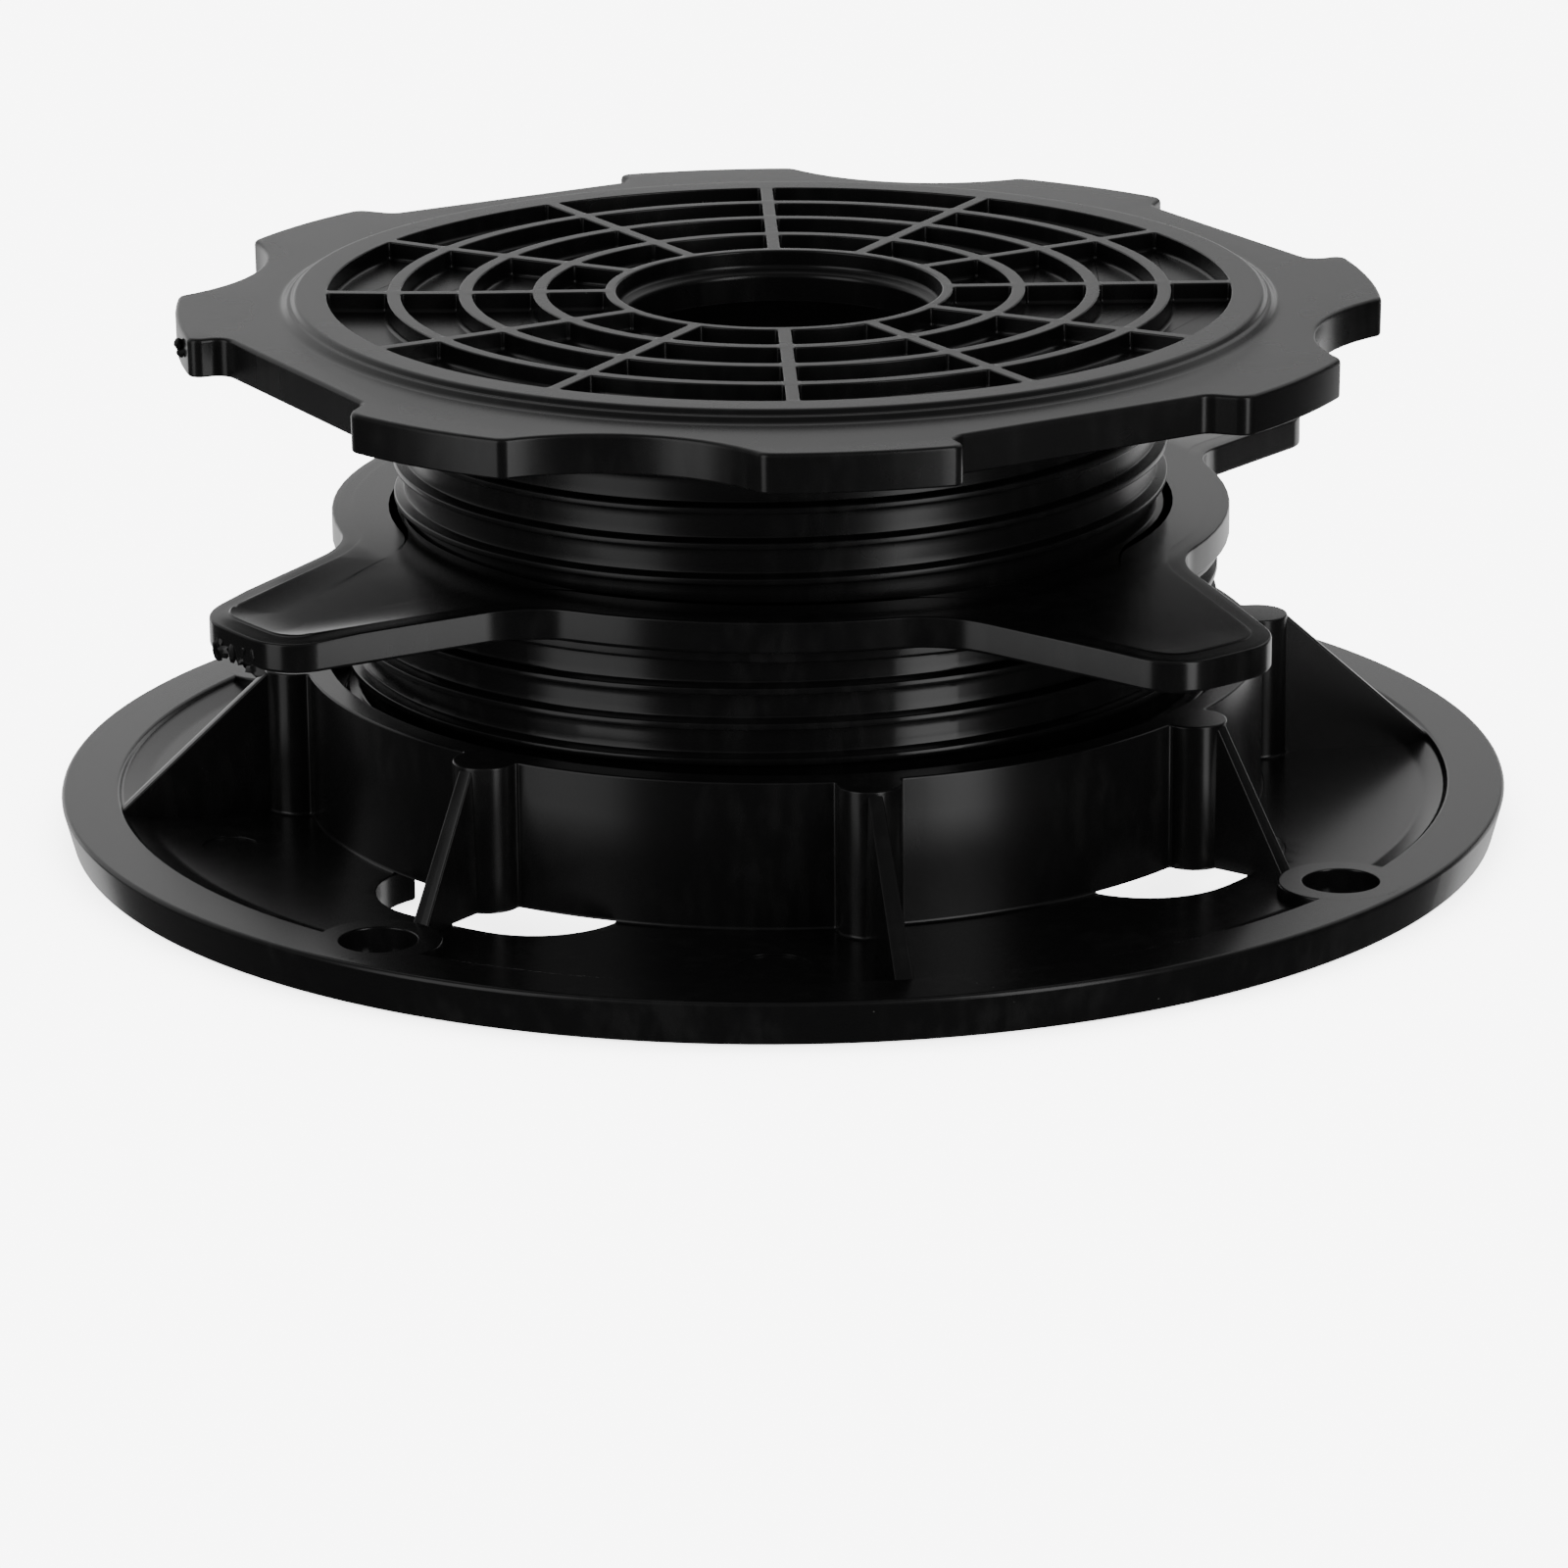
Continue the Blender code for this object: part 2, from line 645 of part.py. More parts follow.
def make_head():
    """The head: lobed flange, raised ribbed field, hub bore and threaded stem."""
    head = prisms("head", [head_outline()], 0, HEAD_FLANGE_THICKNESS)
    core = round_outline(HUB_BORE_RADIUS - HUB_LEDGE_WIDTH, SMALL_SEGMENTS * 2)
    combine(head, "DIFFERENCE", prisms("head_core", [core], -OVERSHOOT, HEAD_TOP + OVERSHOOT))
    combine(head, "UNION", turn_profile("head_field", raised_section(), ROUND_SEGMENTS))
    combine(head, "DIFFERENCE", pockets())
    stem = turn_profile("head_stem", stem_section(), THREAD_SEGMENTS)
    combine(head, "UNION", stem)
    combine(head, "DIFFERENCE", turn_profile("head_bore", hub_section(), SMALL_SEGMENTS * 2))
    phase = RING_Z + INNER_THREAD_PHASE + RIDGE_SPACING - HEAD_Z
    thread = helical_ridge(
        "head_thread", STEM_ROOT_RADIUS, STEM_CREST_RADIUS, -STEM_LENGTH, 0, phase
    )
    combine(head, "UNION", thread)
    return head


def main():
    """Builds the three pieces at the setting that the pedestal is shown at."""
    clear_scene()
    black = (0.022, 0.022, 0.023)
    finish(make_base(), plastic("base_plastic", black, 0.42), 0)
    finish(make_ring(), plastic("ring_plastic", black, 0.40), RING_Z)
    finish(make_head(), plastic("head_plastic", black, 0.42), HEAD_Z)


if __name__ == "__main__":
    main()
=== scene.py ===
"""Studio scene of a screw-adjustable decking pedestal in satin black polypropylene.

The pedestal is three mouldings on one upright axis: a base plate with a threaded collar, an
adjusting ring with four dished lobes, and a ribbed head on a threaded stem. Lengths are in metres.
Plan angles are in degrees, anticlockwise seen from above, and 0 points along +X.
"""

import logging
import math
from collections.abc import Callable, Sequence
from dataclasses import dataclass, field
from enum import Enum

import bmesh
import bpy
from mathutils import Matrix, Vector, noise


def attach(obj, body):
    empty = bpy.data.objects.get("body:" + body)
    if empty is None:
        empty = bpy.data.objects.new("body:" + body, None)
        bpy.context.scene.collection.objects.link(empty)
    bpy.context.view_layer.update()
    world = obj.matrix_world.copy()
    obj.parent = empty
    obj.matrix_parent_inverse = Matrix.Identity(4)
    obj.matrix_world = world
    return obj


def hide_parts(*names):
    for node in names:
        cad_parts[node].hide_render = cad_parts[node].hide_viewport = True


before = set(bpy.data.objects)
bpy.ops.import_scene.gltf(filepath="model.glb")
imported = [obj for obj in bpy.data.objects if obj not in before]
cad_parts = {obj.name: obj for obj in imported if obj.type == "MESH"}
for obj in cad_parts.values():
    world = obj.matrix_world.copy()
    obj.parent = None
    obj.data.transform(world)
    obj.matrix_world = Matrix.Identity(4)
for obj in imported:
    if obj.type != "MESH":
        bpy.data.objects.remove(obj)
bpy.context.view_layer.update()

Loop = list[bmesh.types.BMVert]
Points = list[Vector]
Corner = tuple[float, float, float]
Crumb = tuple[float, float, float, tuple[float, float, float]]

LOG = logging.getLogger("pedestal")
AXIS = Vector((0.0, 0.0))
UP = Vector((0.0, 0.0, 1.0))
SEAM = 0.00005  # heights and faces closer than this count as one


class Moulding(Enum):
    """The three mouldings, each with its CAD node, body and material slot."""

    BASE = ("base", "base", "base_plastic")
    RING = ("adjusting_ring", "ring", "ring_plastic")
    HEAD = ("head", "head", "head_plastic")

    @property
    def node(self) -> str:
        """The CAD node that the moulding stands for."""
        return self.value[0]

    @property
    def body(self) -> str:
        """The body that the moulding rides on."""
        return self.value[1]

    @property
    def slot(self) -> str:
        """The name of the moulding's material slot."""
        return self.value[2]


def polar(radius: float, degrees: float) -> Vector:
    """The plan point at this radius and angle."""
    angle = math.radians(degrees)
    return Vector((radius * math.cos(angle), radius * math.sin(angle)))


def heading(vector: Vector) -> float:
    """The angle of a plan vector, in degrees."""
    return math.degrees(math.atan2(vector.y, vector.x))


def lift(points: Sequence[Vector], height: float) -> Points:
    """Plan points set at one height."""
    return [Vector((p.x, p.y, height)) for p in points]


def arc(centre: Vector, radius: float, start: float, end: float, steps: int) -> Points:
    """Plan points from one angle to another around a centre.

    Args:
        centre: The middle of the arc.
        radius: Its radius.
        start: The angle of its first point.
        end: The angle of its last point.
        steps: How many chords it has.

    Returns:
        The points, both ends included.
    """
    return [centre + polar(radius, start + (end - start) * i / steps) for i in range(steps + 1)]


def circle(radius: float, angles: Sequence[float]) -> Points:
    """Plan points of a circle about the axis at these angles."""
    return [polar(radius, angle) for angle in angles]


def disc_edge(centre: Vector, radius: float, height: float, sides: int = 48) -> Points:
    """The points round a level disc."""
    return lift(arc(centre, radius, 0.0, 360.0, sides)[:-1], height)


def even_angles(count: int, first: float = 0.0) -> list[float]:
    """Angles spaced evenly round the axis."""
    return [first + 360.0 * i / count for i in range(count)]


def smooth(value: float, low: float, high: float) -> float:
    """A soft step from 0 at low to 1 at high."""
    t = min(max((value - low) / (high - low), 0.0), 1.0)
    return t * t * (3.0 - 2.0 * t)


def fillet(corners: Sequence[Corner], closed: bool, steps: int = 4) -> Points:
    """Rounds the corners of a polyline.

    Args:
        corners: The corners as (x, y, radius); a radius of 0 leaves a corner as it is.
        closed: Whether the last corner joins the first.
        steps: How many chords each rounded corner gets.

    Returns:
        The points of the rounded line.
    """
    points: Points = []
    count = len(corners)
    for i, (x, y, radius) in enumerate(corners):
        here = Vector((x, y))
        is_end = not closed and i in (0, count - 1)
        if radius <= 0.0 or is_end:
            points.append(here)
            continue
        before = Vector(corners[i - 1][:2]) - here
        after = Vector(corners[(i + 1) % count][:2]) - here
        opening = before.angle(after)
        if opening > math.radians(179.0):
            points.append(here)
            continue
        reach = radius / math.tan(opening / 2)
        middle = here + (before.normalized() + after.normalized()).normalized() * (
            radius / math.sin(opening / 2)
        )
        first = heading(here + before.normalized() * reach - middle)
        last = heading(here + after.normalized() * reach - middle)
        turn = (last - first + 180.0) % 360.0 - 180.0
        points += arc(middle, radius, first, first + turn, steps)
    return points


def rounding(radius: float, degrees: float) -> tuple[float, float]:
    """How far a rounded edge has drawn in, and how far it is from its end, at this angle."""
    turn = math.radians(degrees)
    return radius * (1 - math.cos(turn)), radius * (1 - math.sin(turn))


def inset(points: Sequence[Vector], distance: float) -> Points:
    """Moves an anticlockwise closed outline inwards, or outwards where distance is negative."""
    moved: Points = []
    count = len(points)
    for i, here in enumerate(points):
        before = (here - points[i - 1]).normalized()
        after = (points[(i + 1) % count] - here).normalized()
        normal = Vector((-(before.y + after.y), before.x + after.x)).normalized()
        lean = max(normal.dot(Vector((-before.y, before.x))), 0.5)
        moved.append(here + normal * distance / lean)
    return moved


@dataclass(frozen=True)
class Ridge:
    """A single-start right-handed thread ridge, with its edges softened as a mould leaves them."""

    pitch: float = 0.0048
    root_half: float = 0.00075
    crest_half: float = 0.00045
    soft: float = 0.00016
    run_out: float = 0.1

    def section(self) -> list[tuple[float, float]]:
        """The (height, share of depth) points across one pitch, from the lower root up."""
        flank = self.root_half - self.crest_half
        upper = [
            (self.crest_half - self.soft * 1.6, 1.0),
            (self.crest_half - self.soft * 0.4, 0.965),
            (self.crest_half + flank * 0.16, 0.86),
            (self.crest_half + flank * 0.78, 0.22),
            (self.root_half + self.soft * 0.5, 0.06),
            (self.root_half + self.soft * 2.2, 0.0),
            (self.pitch * 0.36, 0.0),
        ]
        lower = [(-height, share) for height, share in reversed(upper)]
        return lower + upper


class Skin:
    """A mesh that grows loop by loop into one closed surface."""

    def __init__(self) -> None:
        """Starts an empty mesh."""
        self.bm = bmesh.new()

    def loop(self, points: Sequence[Vector]) -> Loop:
        """Adds one loop of vertices."""
        return [self.bm.verts.new(point) for point in points]

    def strip(self, low: Loop, high: Loop) -> Loop:
        """Joins two loops of equal length with quads.

        Args:
            low: The first loop.
            high: The second loop, with as many vertices.

        Returns:
            The second loop, ready for the next strip.
        """
        count = len(low)
        for i in range(count):
            j = (i + 1) % count
            ring = list(dict.fromkeys((low[i], low[j], high[j], high[i])))
            if len(ring) > 2:
                self.bm.faces.new(ring)
        return high

    def stack(self, start: Loop, rows: Sequence[Sequence[Vector]]) -> Loop:
        """Carries a surface on from a loop through rows of points, and returns the last loop."""
        for row in rows:
            start = self.strip(start, self.loop(row))
        return start

    def turned(
        self, start: Loop, profile: Sequence[Vector], angles: Sequence[float]
    ) -> Loop:
        """Carries a surface on as a turned profile.

        Args:
            start: The loop to carry on from.
            profile: The (radius, height) points still to come.
            angles: The columns' angles, one for each vertex of the loop.

        Returns:
            The last loop.
        """
        return self.stack(start, [lift(circle(p.x, angles), p.y) for p in profile])

    def flat(self, outer: Loop, holes: Sequence[Loop]) -> None:
        """Fills the level region between an outline and the holes in it."""
        edges = []
        for loop in (outer, *holes):
            for i, vert in enumerate(loop):
                mate = loop[i - 1]
                edge = self.bm.edges.get((vert, mate)) or self.bm.edges.new((vert, mate))
                edges.append(edge)
        bmesh.ops.triangle_fill(
            self.bm, edges=edges, use_beauty=True, use_dissolve=False, normal=UP
        )

    def lid(self, loop: Loop) -> None:
        """Closes one loop with a single level face."""
        self.bm.faces.new(loop)

    def thread(
        self,
        start: Loop,
        angles: Sequence[float],
        span: tuple[float, float],
        radii: tuple[float, float],
        phase: float,
        ridge: Ridge,
    ) -> Loop:
        """Carries a round wall on with a thread ridge wound on it.

        Args:
            start: The loop at the wall's first end.
            angles: The columns' angles, rising through one turn.
            span: The heights of the wall's first and last ends, in either order.
            radii: The radii of the wall and of the ridge's crest.
            phase: The height at which a ridge crosses angle 0.
            ridge: The ridge's section.

        Returns:
            The loop at the wall's last end.
        """
        low, high = min(span), max(span)
        root, crest = radii
        section = ridge.section()
        size = len(section)
        first = math.floor((low - phase) / ridge.pitch) - 2
        last = math.ceil((high - phase) / ridge.pitch) + 1
        ends = [self.loop(lift(circle(root, angles), height)) for height in (low, high)]
        columns: list[dict[int, bmesh.types.BMVert]] = []
        for column, degrees in enumerate(angles):
            share = degrees / 360.0
            made: dict[int, bmesh.types.BMVert] = {}
            for turn in range(first, last + 1):
                centre = phase + ridge.pitch * (turn + share)
                room = min(centre - low, high - centre) - ridge.root_half * 1.5
                grown = smooth(room, 0.0, ridge.pitch * ridge.run_out)
                for step, (offset, depth) in enumerate(section):
                    height = centre + offset
                    index = (turn - first) * size + step
                    if height <= low + SEAM:
                        made[index] = ends[0][column]
                    elif height >= high - SEAM:
                        made[index] = ends[1][column]
                    else:
                        radius = root + (crest - root) * depth * grown
                        flat = polar(radius, degrees)
                        made[index] = self.bm.verts.new((flat.x, flat.y, height))
            columns.append(made)
        count = len(angles)
        top_index = (last - first + 1) * size - 1
        for column, here in enumerate(columns):
            there = columns[(column + 1) % count]
            shift = size if column + 1 == count else 0
            for index in range(top_index - shift):
                beside = index + shift
                ring = (here[index], there[beside], there[beside + 1], here[index + 1])
                corners = list(dict.fromkeys(ring))
                if len(corners) > 2:
                    self.bm.faces.new(corners)
        near, far = (0, 1) if span[0] < span[1] else (1, 0)
        self.strip(start, ends[near])
        return ends[far]

    def close(self, first: Loop, last: Loop) -> None:
        """Joins the two free ends of a surface."""
        self.strip(last, first)

    def solid(self, rows: Sequence[Sequence[Vector]]) -> None:
        """Adds a closed solid of rows of points, with a face at both ends."""
        first = self.loop(rows[0])
        last = self.stack(first, rows[1:])
        self.lid(first)
        self.lid(last)

    def crumb(self, centre: Vector, size: Vector, ragged: float) -> None:
        """Adds a small ragged lump of torn plastic.

        Args:
            centre: Its middle.
            size: Its half widths along X, Y and Z, before it is turned to face the axis.
            ragged: How far its surface strays, as a share of its size.
        """
        turn = Matrix.Rotation(math.atan2(centre.y, centre.x), 4, "Z")
        place = Matrix.Translation(centre) @ turn @ Matrix.Diagonal((*size, 1.0))
        made = bmesh.ops.create_icosphere(self.bm, subdivisions=2, radius=1.0, matrix=place)
        for vert in made["verts"]:
            spoke = vert.co - centre
            vert.co += spoke * (ragged * noise.noise(vert.co * 1400.0))

    def done(self, name: str) -> bpy.types.Object:
        """Makes an object of the mesh, with its faces pointing out."""
        bmesh.ops.recalc_face_normals(self.bm, faces=self.bm.faces)
        mesh = bpy.data.meshes.new(name)
        self.bm.to_mesh(mesh)
        self.bm.free()
        item = bpy.data.objects.new(name, mesh)
        bpy.context.scene.collection.objects.link(item)
        return item


def combine(item: bpy.types.Object, operation: str, tool: bpy.types.Object) -> None:
    """Adds a closed tool to a piece, or cuts it away, and removes the tool.

    Args:
        item: The piece.
        operation: UNION or DIFFERENCE.
        tool: The closed solid that is added or cut away.
    """
    modifier = item.modifiers.new(tool.name, "BOOLEAN")
    modifier.operation = operation
    modifier.solver = "EXACT"
    modifier.object = tool
    graph = bpy.context.evaluated_depsgraph_get()
    result = bpy.data.meshes.new_from_object(item.evaluated_get(graph))
    item.modifiers.clear()
    old = item.data
    item.data = result
    bpy.data.meshes.remove(old)
    bpy.data.meshes.remove(tool.data)


def warp(item: bpy.types.Object, shift: Callable[[Vector], Vector]) -> None:
    """Moves each vertex of a piece by the small shift that a moulding's cooling leaves."""
    for vertex in item.data.vertices:
        vertex.co += shift(vertex.co)


def shade(item: bpy.types.Object, sharp: float) -> None:
    """Shades a piece smooth, with its flat faces kept flat.

    Args:
        item: The piece.
        sharp: The angle above which an edge stays crisp, in degrees.
    """
    item.data.shade_smooth()
    item.data.set_sharp_from_angle(angle=math.radians(sharp))
    modifier = item.modifiers.new("flat_faces", "WEIGHTED_NORMAL")
    modifier.mode = "FACE_AREA"
    modifier.weight = 80
    modifier.keep_sharp = True


def dress(item: bpy.types.Object, moulding: Moulding, material: bpy.types.Material) -> None:
    """Gives a piece its material and its body, and hides its CAD node."""
    item.data.materials.clear()
    item.data.materials.append(material)
    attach(item, moulding.body)
    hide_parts(moulding.node)


class Nodes:
    """A small hand for wiring a material's node tree."""

    def __init__(self, tree: bpy.types.NodeTree) -> None:
        """Takes the tree that the nodes go into."""
        self.tree = tree

    def add(self, kind: str, **values: object) -> bpy.types.Node:
        """Adds a node and sets its properties."""
        node = self.tree.nodes.new(kind)
        for name, value in values.items():
            setattr(node, name, value)
        return node

    def link(self, source: bpy.types.NodeSocket, target: bpy.types.NodeSocket) -> None:
        """Joins two sockets."""
        self.tree.links.new(source, target)

    def noise(
        self, where: bpy.types.NodeSocket, scale: float, detail: float, rough: float = 0.5
    ) -> bpy.types.NodeSocket:
        """Adds a noise texture.

        Args:
            where: The coordinates that it is read at.
            scale: Its scale per metre.
            detail: How many octaves it has.
            rough: How strong the finer octaves are.

        Returns:
            The texture's value.
        """
        node = self.add("ShaderNodeTexNoise")
        node.inputs["Scale"].default_value = scale
        node.inputs["Detail"].default_value = detail
        node.inputs["Roughness"].default_value = rough
        self.link(where, node.inputs["Vector"])
        return node.outputs["Fac"]

    def remap(
        self, value: bpy.types.NodeSocket, span: tuple[float, float], to: tuple[float, float]
    ) -> bpy.types.NodeSocket:
        """Maps a value smoothly from one span to another, clamped at both ends."""
        node = self.add("ShaderNodeMapRange", interpolation_type="SMOOTHSTEP")
        for name, number in zip(("From Min", "From Max", "To Min", "To Max"), (*span, *to)):
            node.inputs[name].default_value = number
        self.link(value, node.inputs["Value"])
        return node.outputs["Result"]

    def math(self, operation: str, *values: bpy.types.NodeSocket | float) -> bpy.types.NodeSocket:
        """Adds a math node on sockets or plain numbers."""
        node = self.add("ShaderNodeMath", operation=operation)
        for socket, value in zip(node.inputs, values):
            if isinstance(value, bpy.types.NodeSocket):
                self.link(value, socket)
            else:
                socket.default_value = value
        return node.outputs["Value"]

    def bump(
        self,
        height: bpy.types.NodeSocket,
        distance: float,
        strength: float,
        under: bpy.types.NodeSocket | None = None,
    ) -> bpy.types.NodeSocket:
        """Adds a bump map.

        Args:
            height: The height from 0 to 1.
            distance: What a height of 1 stands for, in metres.
            strength: How much of it shows.
            under: A bump that it lies on.

        Returns:
            The bumped normal.
        """
        node = self.add("ShaderNodeBump")
        node.inputs["Distance"].default_value = distance
        node.inputs["Strength"].default_value = strength
        self.link(height, node.inputs["Height"])
        if under is not None:
            self.link(under, node.inputs["Normal"])
        return node.outputs["Normal"]


@dataclass(frozen=True)
class SatinPolypropylene:
    """Satin black polypropylene with the fine grain, flow marks and light scuffs of a moulding."""

    name: str
    black: float = 0.0085
    scuffed: float = 0.016
    roughness: float = 0.27
    roughness_swing: float = 0.008
    index: float = 1.49
    cloud: float = 55.0
    cloud_span: tuple[float, float] = (0.3, 0.7)
    scuff: float = 420.0
    scuff_span: tuple[float, float] = (0.20, 0.45)
    grain: float = 2600.0
    grain_height: float = 0.0000004
    grain_strength: float = 0.6
    flow: float = 160.0
    flow_height: float = 0.000010
    flow_strength: float = 0.35
    stretch: tuple[float, float, float] = (1.0, 1.0, 0.35)
    dust: float = 0.35
    dust_cells: float = 420.0
    dust_size: tuple[float, float] = (0.035, 0.06)
    dust_patch: float = 140.0
    dust_patch_span: tuple[float, float] = (0.66, 0.70)
    dust_colour: tuple[float, float, float, float] = (0.25, 0.25, 0.24, 1.0)

    def material(self) -> bpy.types.Material:
        """Builds the node tree of the finish."""
        material = bpy.data.materials.new(self.name)
        material.use_nodes = True
        material.diffuse_color = (self.black, self.black, self.black, 1.0)
        nodes = Nodes(material.node_tree)
        shader = material.node_tree.nodes["Principled BSDF"]
        place = nodes.add("ShaderNodeTexCoord").outputs["Object"]
        drawn = nodes.add("ShaderNodeMapping")
        drawn.inputs["Scale"].default_value = self.stretch
        nodes.link(place, drawn.inputs["Vector"])
        cloud = nodes.noise(place, self.cloud, 3.0)
        scuff = nodes.noise(drawn.outputs["Vector"], self.scuff, 2.0)
        wear = nodes.remap(nodes.math("MULTIPLY", cloud, scuff), self.scuff_span, (0.0, 1.0))
        speck = nodes.add("ShaderNodeTexVoronoi", feature="F1")
        speck.inputs["Scale"].default_value = self.dust_cells
        nodes.link(place, speck.inputs["Vector"])
        grit = nodes.remap(speck.outputs["Distance"], self.dust_size, (1.0, 0.0))
        patch = nodes.noise(place, self.dust_patch, 1.0)
        sparse = nodes.remap(patch, self.dust_patch_span, (0.0, self.dust))
        dust = nodes.math("MULTIPLY", grit, sparse)
        tint = nodes.add("ShaderNodeMix", data_type="RGBA")
        tint.inputs["A"].default_value = (self.black, self.black, self.black * 1.02, 1.0)
        tint.inputs["B"].default_value = (self.scuffed, self.scuffed, self.scuffed, 1.0)
        nodes.link(wear, tint.inputs["Factor"])
        dusted = nodes.add("ShaderNodeMix", data_type="RGBA")
        dusted.inputs["B"].default_value = self.dust_colour
        nodes.link(dust, dusted.inputs["Factor"])
        nodes.link(tint.outputs["Result"], dusted.inputs["A"])
        nodes.link(dusted.outputs["Result"], shader.inputs["Base Color"])
        low, high = self.roughness - self.roughness_swing, self.roughness + self.roughness_swing
        nodes.link(nodes.remap(cloud, self.cloud_span, (low, high)), shader.inputs["Roughness"])
        fine = nodes.noise(place, self.grain, 1.0)
        grain = nodes.bump(fine, self.grain_height, self.grain_strength)
        wave = nodes.noise(drawn.outputs["Vector"], self.flow, 2.0)
        flow = nodes.bump(wave, self.flow_height, self.flow_strength, grain)
        nodes.link(flow, shader.inputs["Normal"])
        shader.inputs["IOR"].default_value = self.index
        return material


@dataclass
class Head:
    """The head: lobed flange, raised ribbed field, hub bore and threaded stem."""

    underside: float = 0.0675
    flange: float = 0.0053
    raise_height: float = 0.0016
    radius: float = 0.0820
    scallop_angle: float = -13.5
    scallop_half: float = 12.0
    scallop_depth: float = 0.0077
    flat_angle: float = 31.0
    flat_half: float = 14.8
    flat_distance: float = 0.0745
    step_slant: float = 1.6
    step_lean: float = 0.6
    step_round: float = 0.0024
    tooth_round: float = 0.0016
    tab_round: float = 0.0022
    top_edge: float = 0.0006
    bottom_edge: float = 0.0003
    ledge_radius: float = 0.0671
    ledge_drop: float = 0.0007
    raised_radius: float = 0.0661
    field_radius: float = 0.0615
    field_depth: float = 0.0026
    rib_radii: tuple[float, ...] = (0.0326, 0.0427, 0.0524)
    rib_width: float = 0.0019
    spokes: int = 12
    spoke_angle: float = 1.6
    spoke_width: float = 0.0018
    rib_edge: float = 0.00022
    pocket_corner: float = 0.0005
    pocket_foot: float = 0.0006
    hub_bore: float = 0.0222
    hub_rib: float = 0.0015
    hub_ledge: float = 0.0016
    hub_depth: float = 0.0024
    hub_fall: float = 0.0007
    stem_root: float = 0.0515
    stem_crest: float = 0.0530
    stem_bore: float = 0.0482
    stem_length: float = 0.0290
    thread_phase: float = 0.0442
    sag_lift: float = 0.00075
    sag_span: tuple[float, float] = (0.040, 0.085)
    gate: tuple[Crumb, ...] = (
        (192.6, 0.0002, 0.0709, (0.0009, 0.0008, 0.0008)),
        (193.4, 0.0001, 0.0700, (0.0007, 0.0006, 0.0006)),
    )
    columns: int = 240
    ridge: Ridge = field(default_factory=Ridge)

    @property
    def flange_top(self) -> float:
        """The height of the flange's upper face."""
        return self.underside + self.flange

    @property
    def top(self) -> float:
        """The height of the raised field and of the ribs."""
        return self.flange_top + self.raise_height

    def scallop(self, angle: float) -> list[Corner]:
        """The corners of a concave bite between two tabs."""
        half = math.radians(self.scallop_half)
        half_chord, chord = self.radius * math.sin(half), self.radius * math.cos(half)
        sagitta = chord - (self.radius - self.scallop_depth)
        radius = (half_chord**2 + sagitta**2) / (2 * sagitta)
        spread = math.degrees(math.asin(half_chord / radius))
        centre = polar(chord - sagitta + radius, angle)
        points = arc(centre, radius, angle + 180 + spread, angle + 180 - spread, 14)
        radii = [self.tab_round, *(0.0 for _ in points[2:]), self.tab_round]
        return [(p.x, p.y, r) for p, r in zip(points, radii)]

    def step(self, angle: float) -> list[Corner]:
        """The corners of a straight stretch with its hooked tooth and its soft step."""
        end = self.flat_distance / math.cos(math.radians(self.flat_half))
        low, high = angle - self.flat_half, angle + self.flat_half
        corners = (
            (polar(self.radius, low + self.step_lean), self.tooth_round),
            (polar(end, low), self.tab_round),
            (polar(end, high), self.step_round),
            (polar(self.radius, high + self.step_slant), self.step_round),
        )
        return [(p.x, p.y, r) for p, r in corners]

    def tab(self, start: float, end: float) -> list[Corner]:
        """The corners of a tab's round edge, without its two ends."""
        return [(p.x, p.y, 0.0) for p in arc(AXIS, self.radius, start, end, 7)[1:-1]]

    def outline(self) -> Points:
        """The flange's plan: on each side a scallop, a tab, a flat and another tab."""
        corners: list[Corner] = []
        for side in range(4):
            scallop, flat = self.scallop_angle + 90 * side, self.flat_angle + 90 * side
            corners += self.scallop(scallop)
            corners += self.tab(
                scallop + self.scallop_half, flat - self.flat_half + self.step_lean
            )
            corners += self.step(flat)
            corners += self.tab(
                flat + self.flat_half + self.step_slant, scallop + 90 - self.scallop_half
            )
        return fillet(corners, closed=True, steps=5)

    def raised_edge(self) -> Points:
        """The stepped edge of the raised field, from the flange inwards, as (radius, height)."""
        ledge = self.top - self.ledge_drop
        corners = (
            (self.ledge_radius + 0.0020, self.flange_top, 0.0),
            (self.ledge_radius + 0.0007, self.flange_top, 0.0013),
            (self.ledge_radius - 0.0003, ledge, 0.0007),
            (self.raised_radius + 0.0003, ledge - 0.00003, 0.0004),
            (self.raised_radius - 0.0003, self.top, 0.0008),
            (self.raised_radius - 0.0013, self.top, 0.0),
        )
        return fillet(corners, closed=False, steps=5)

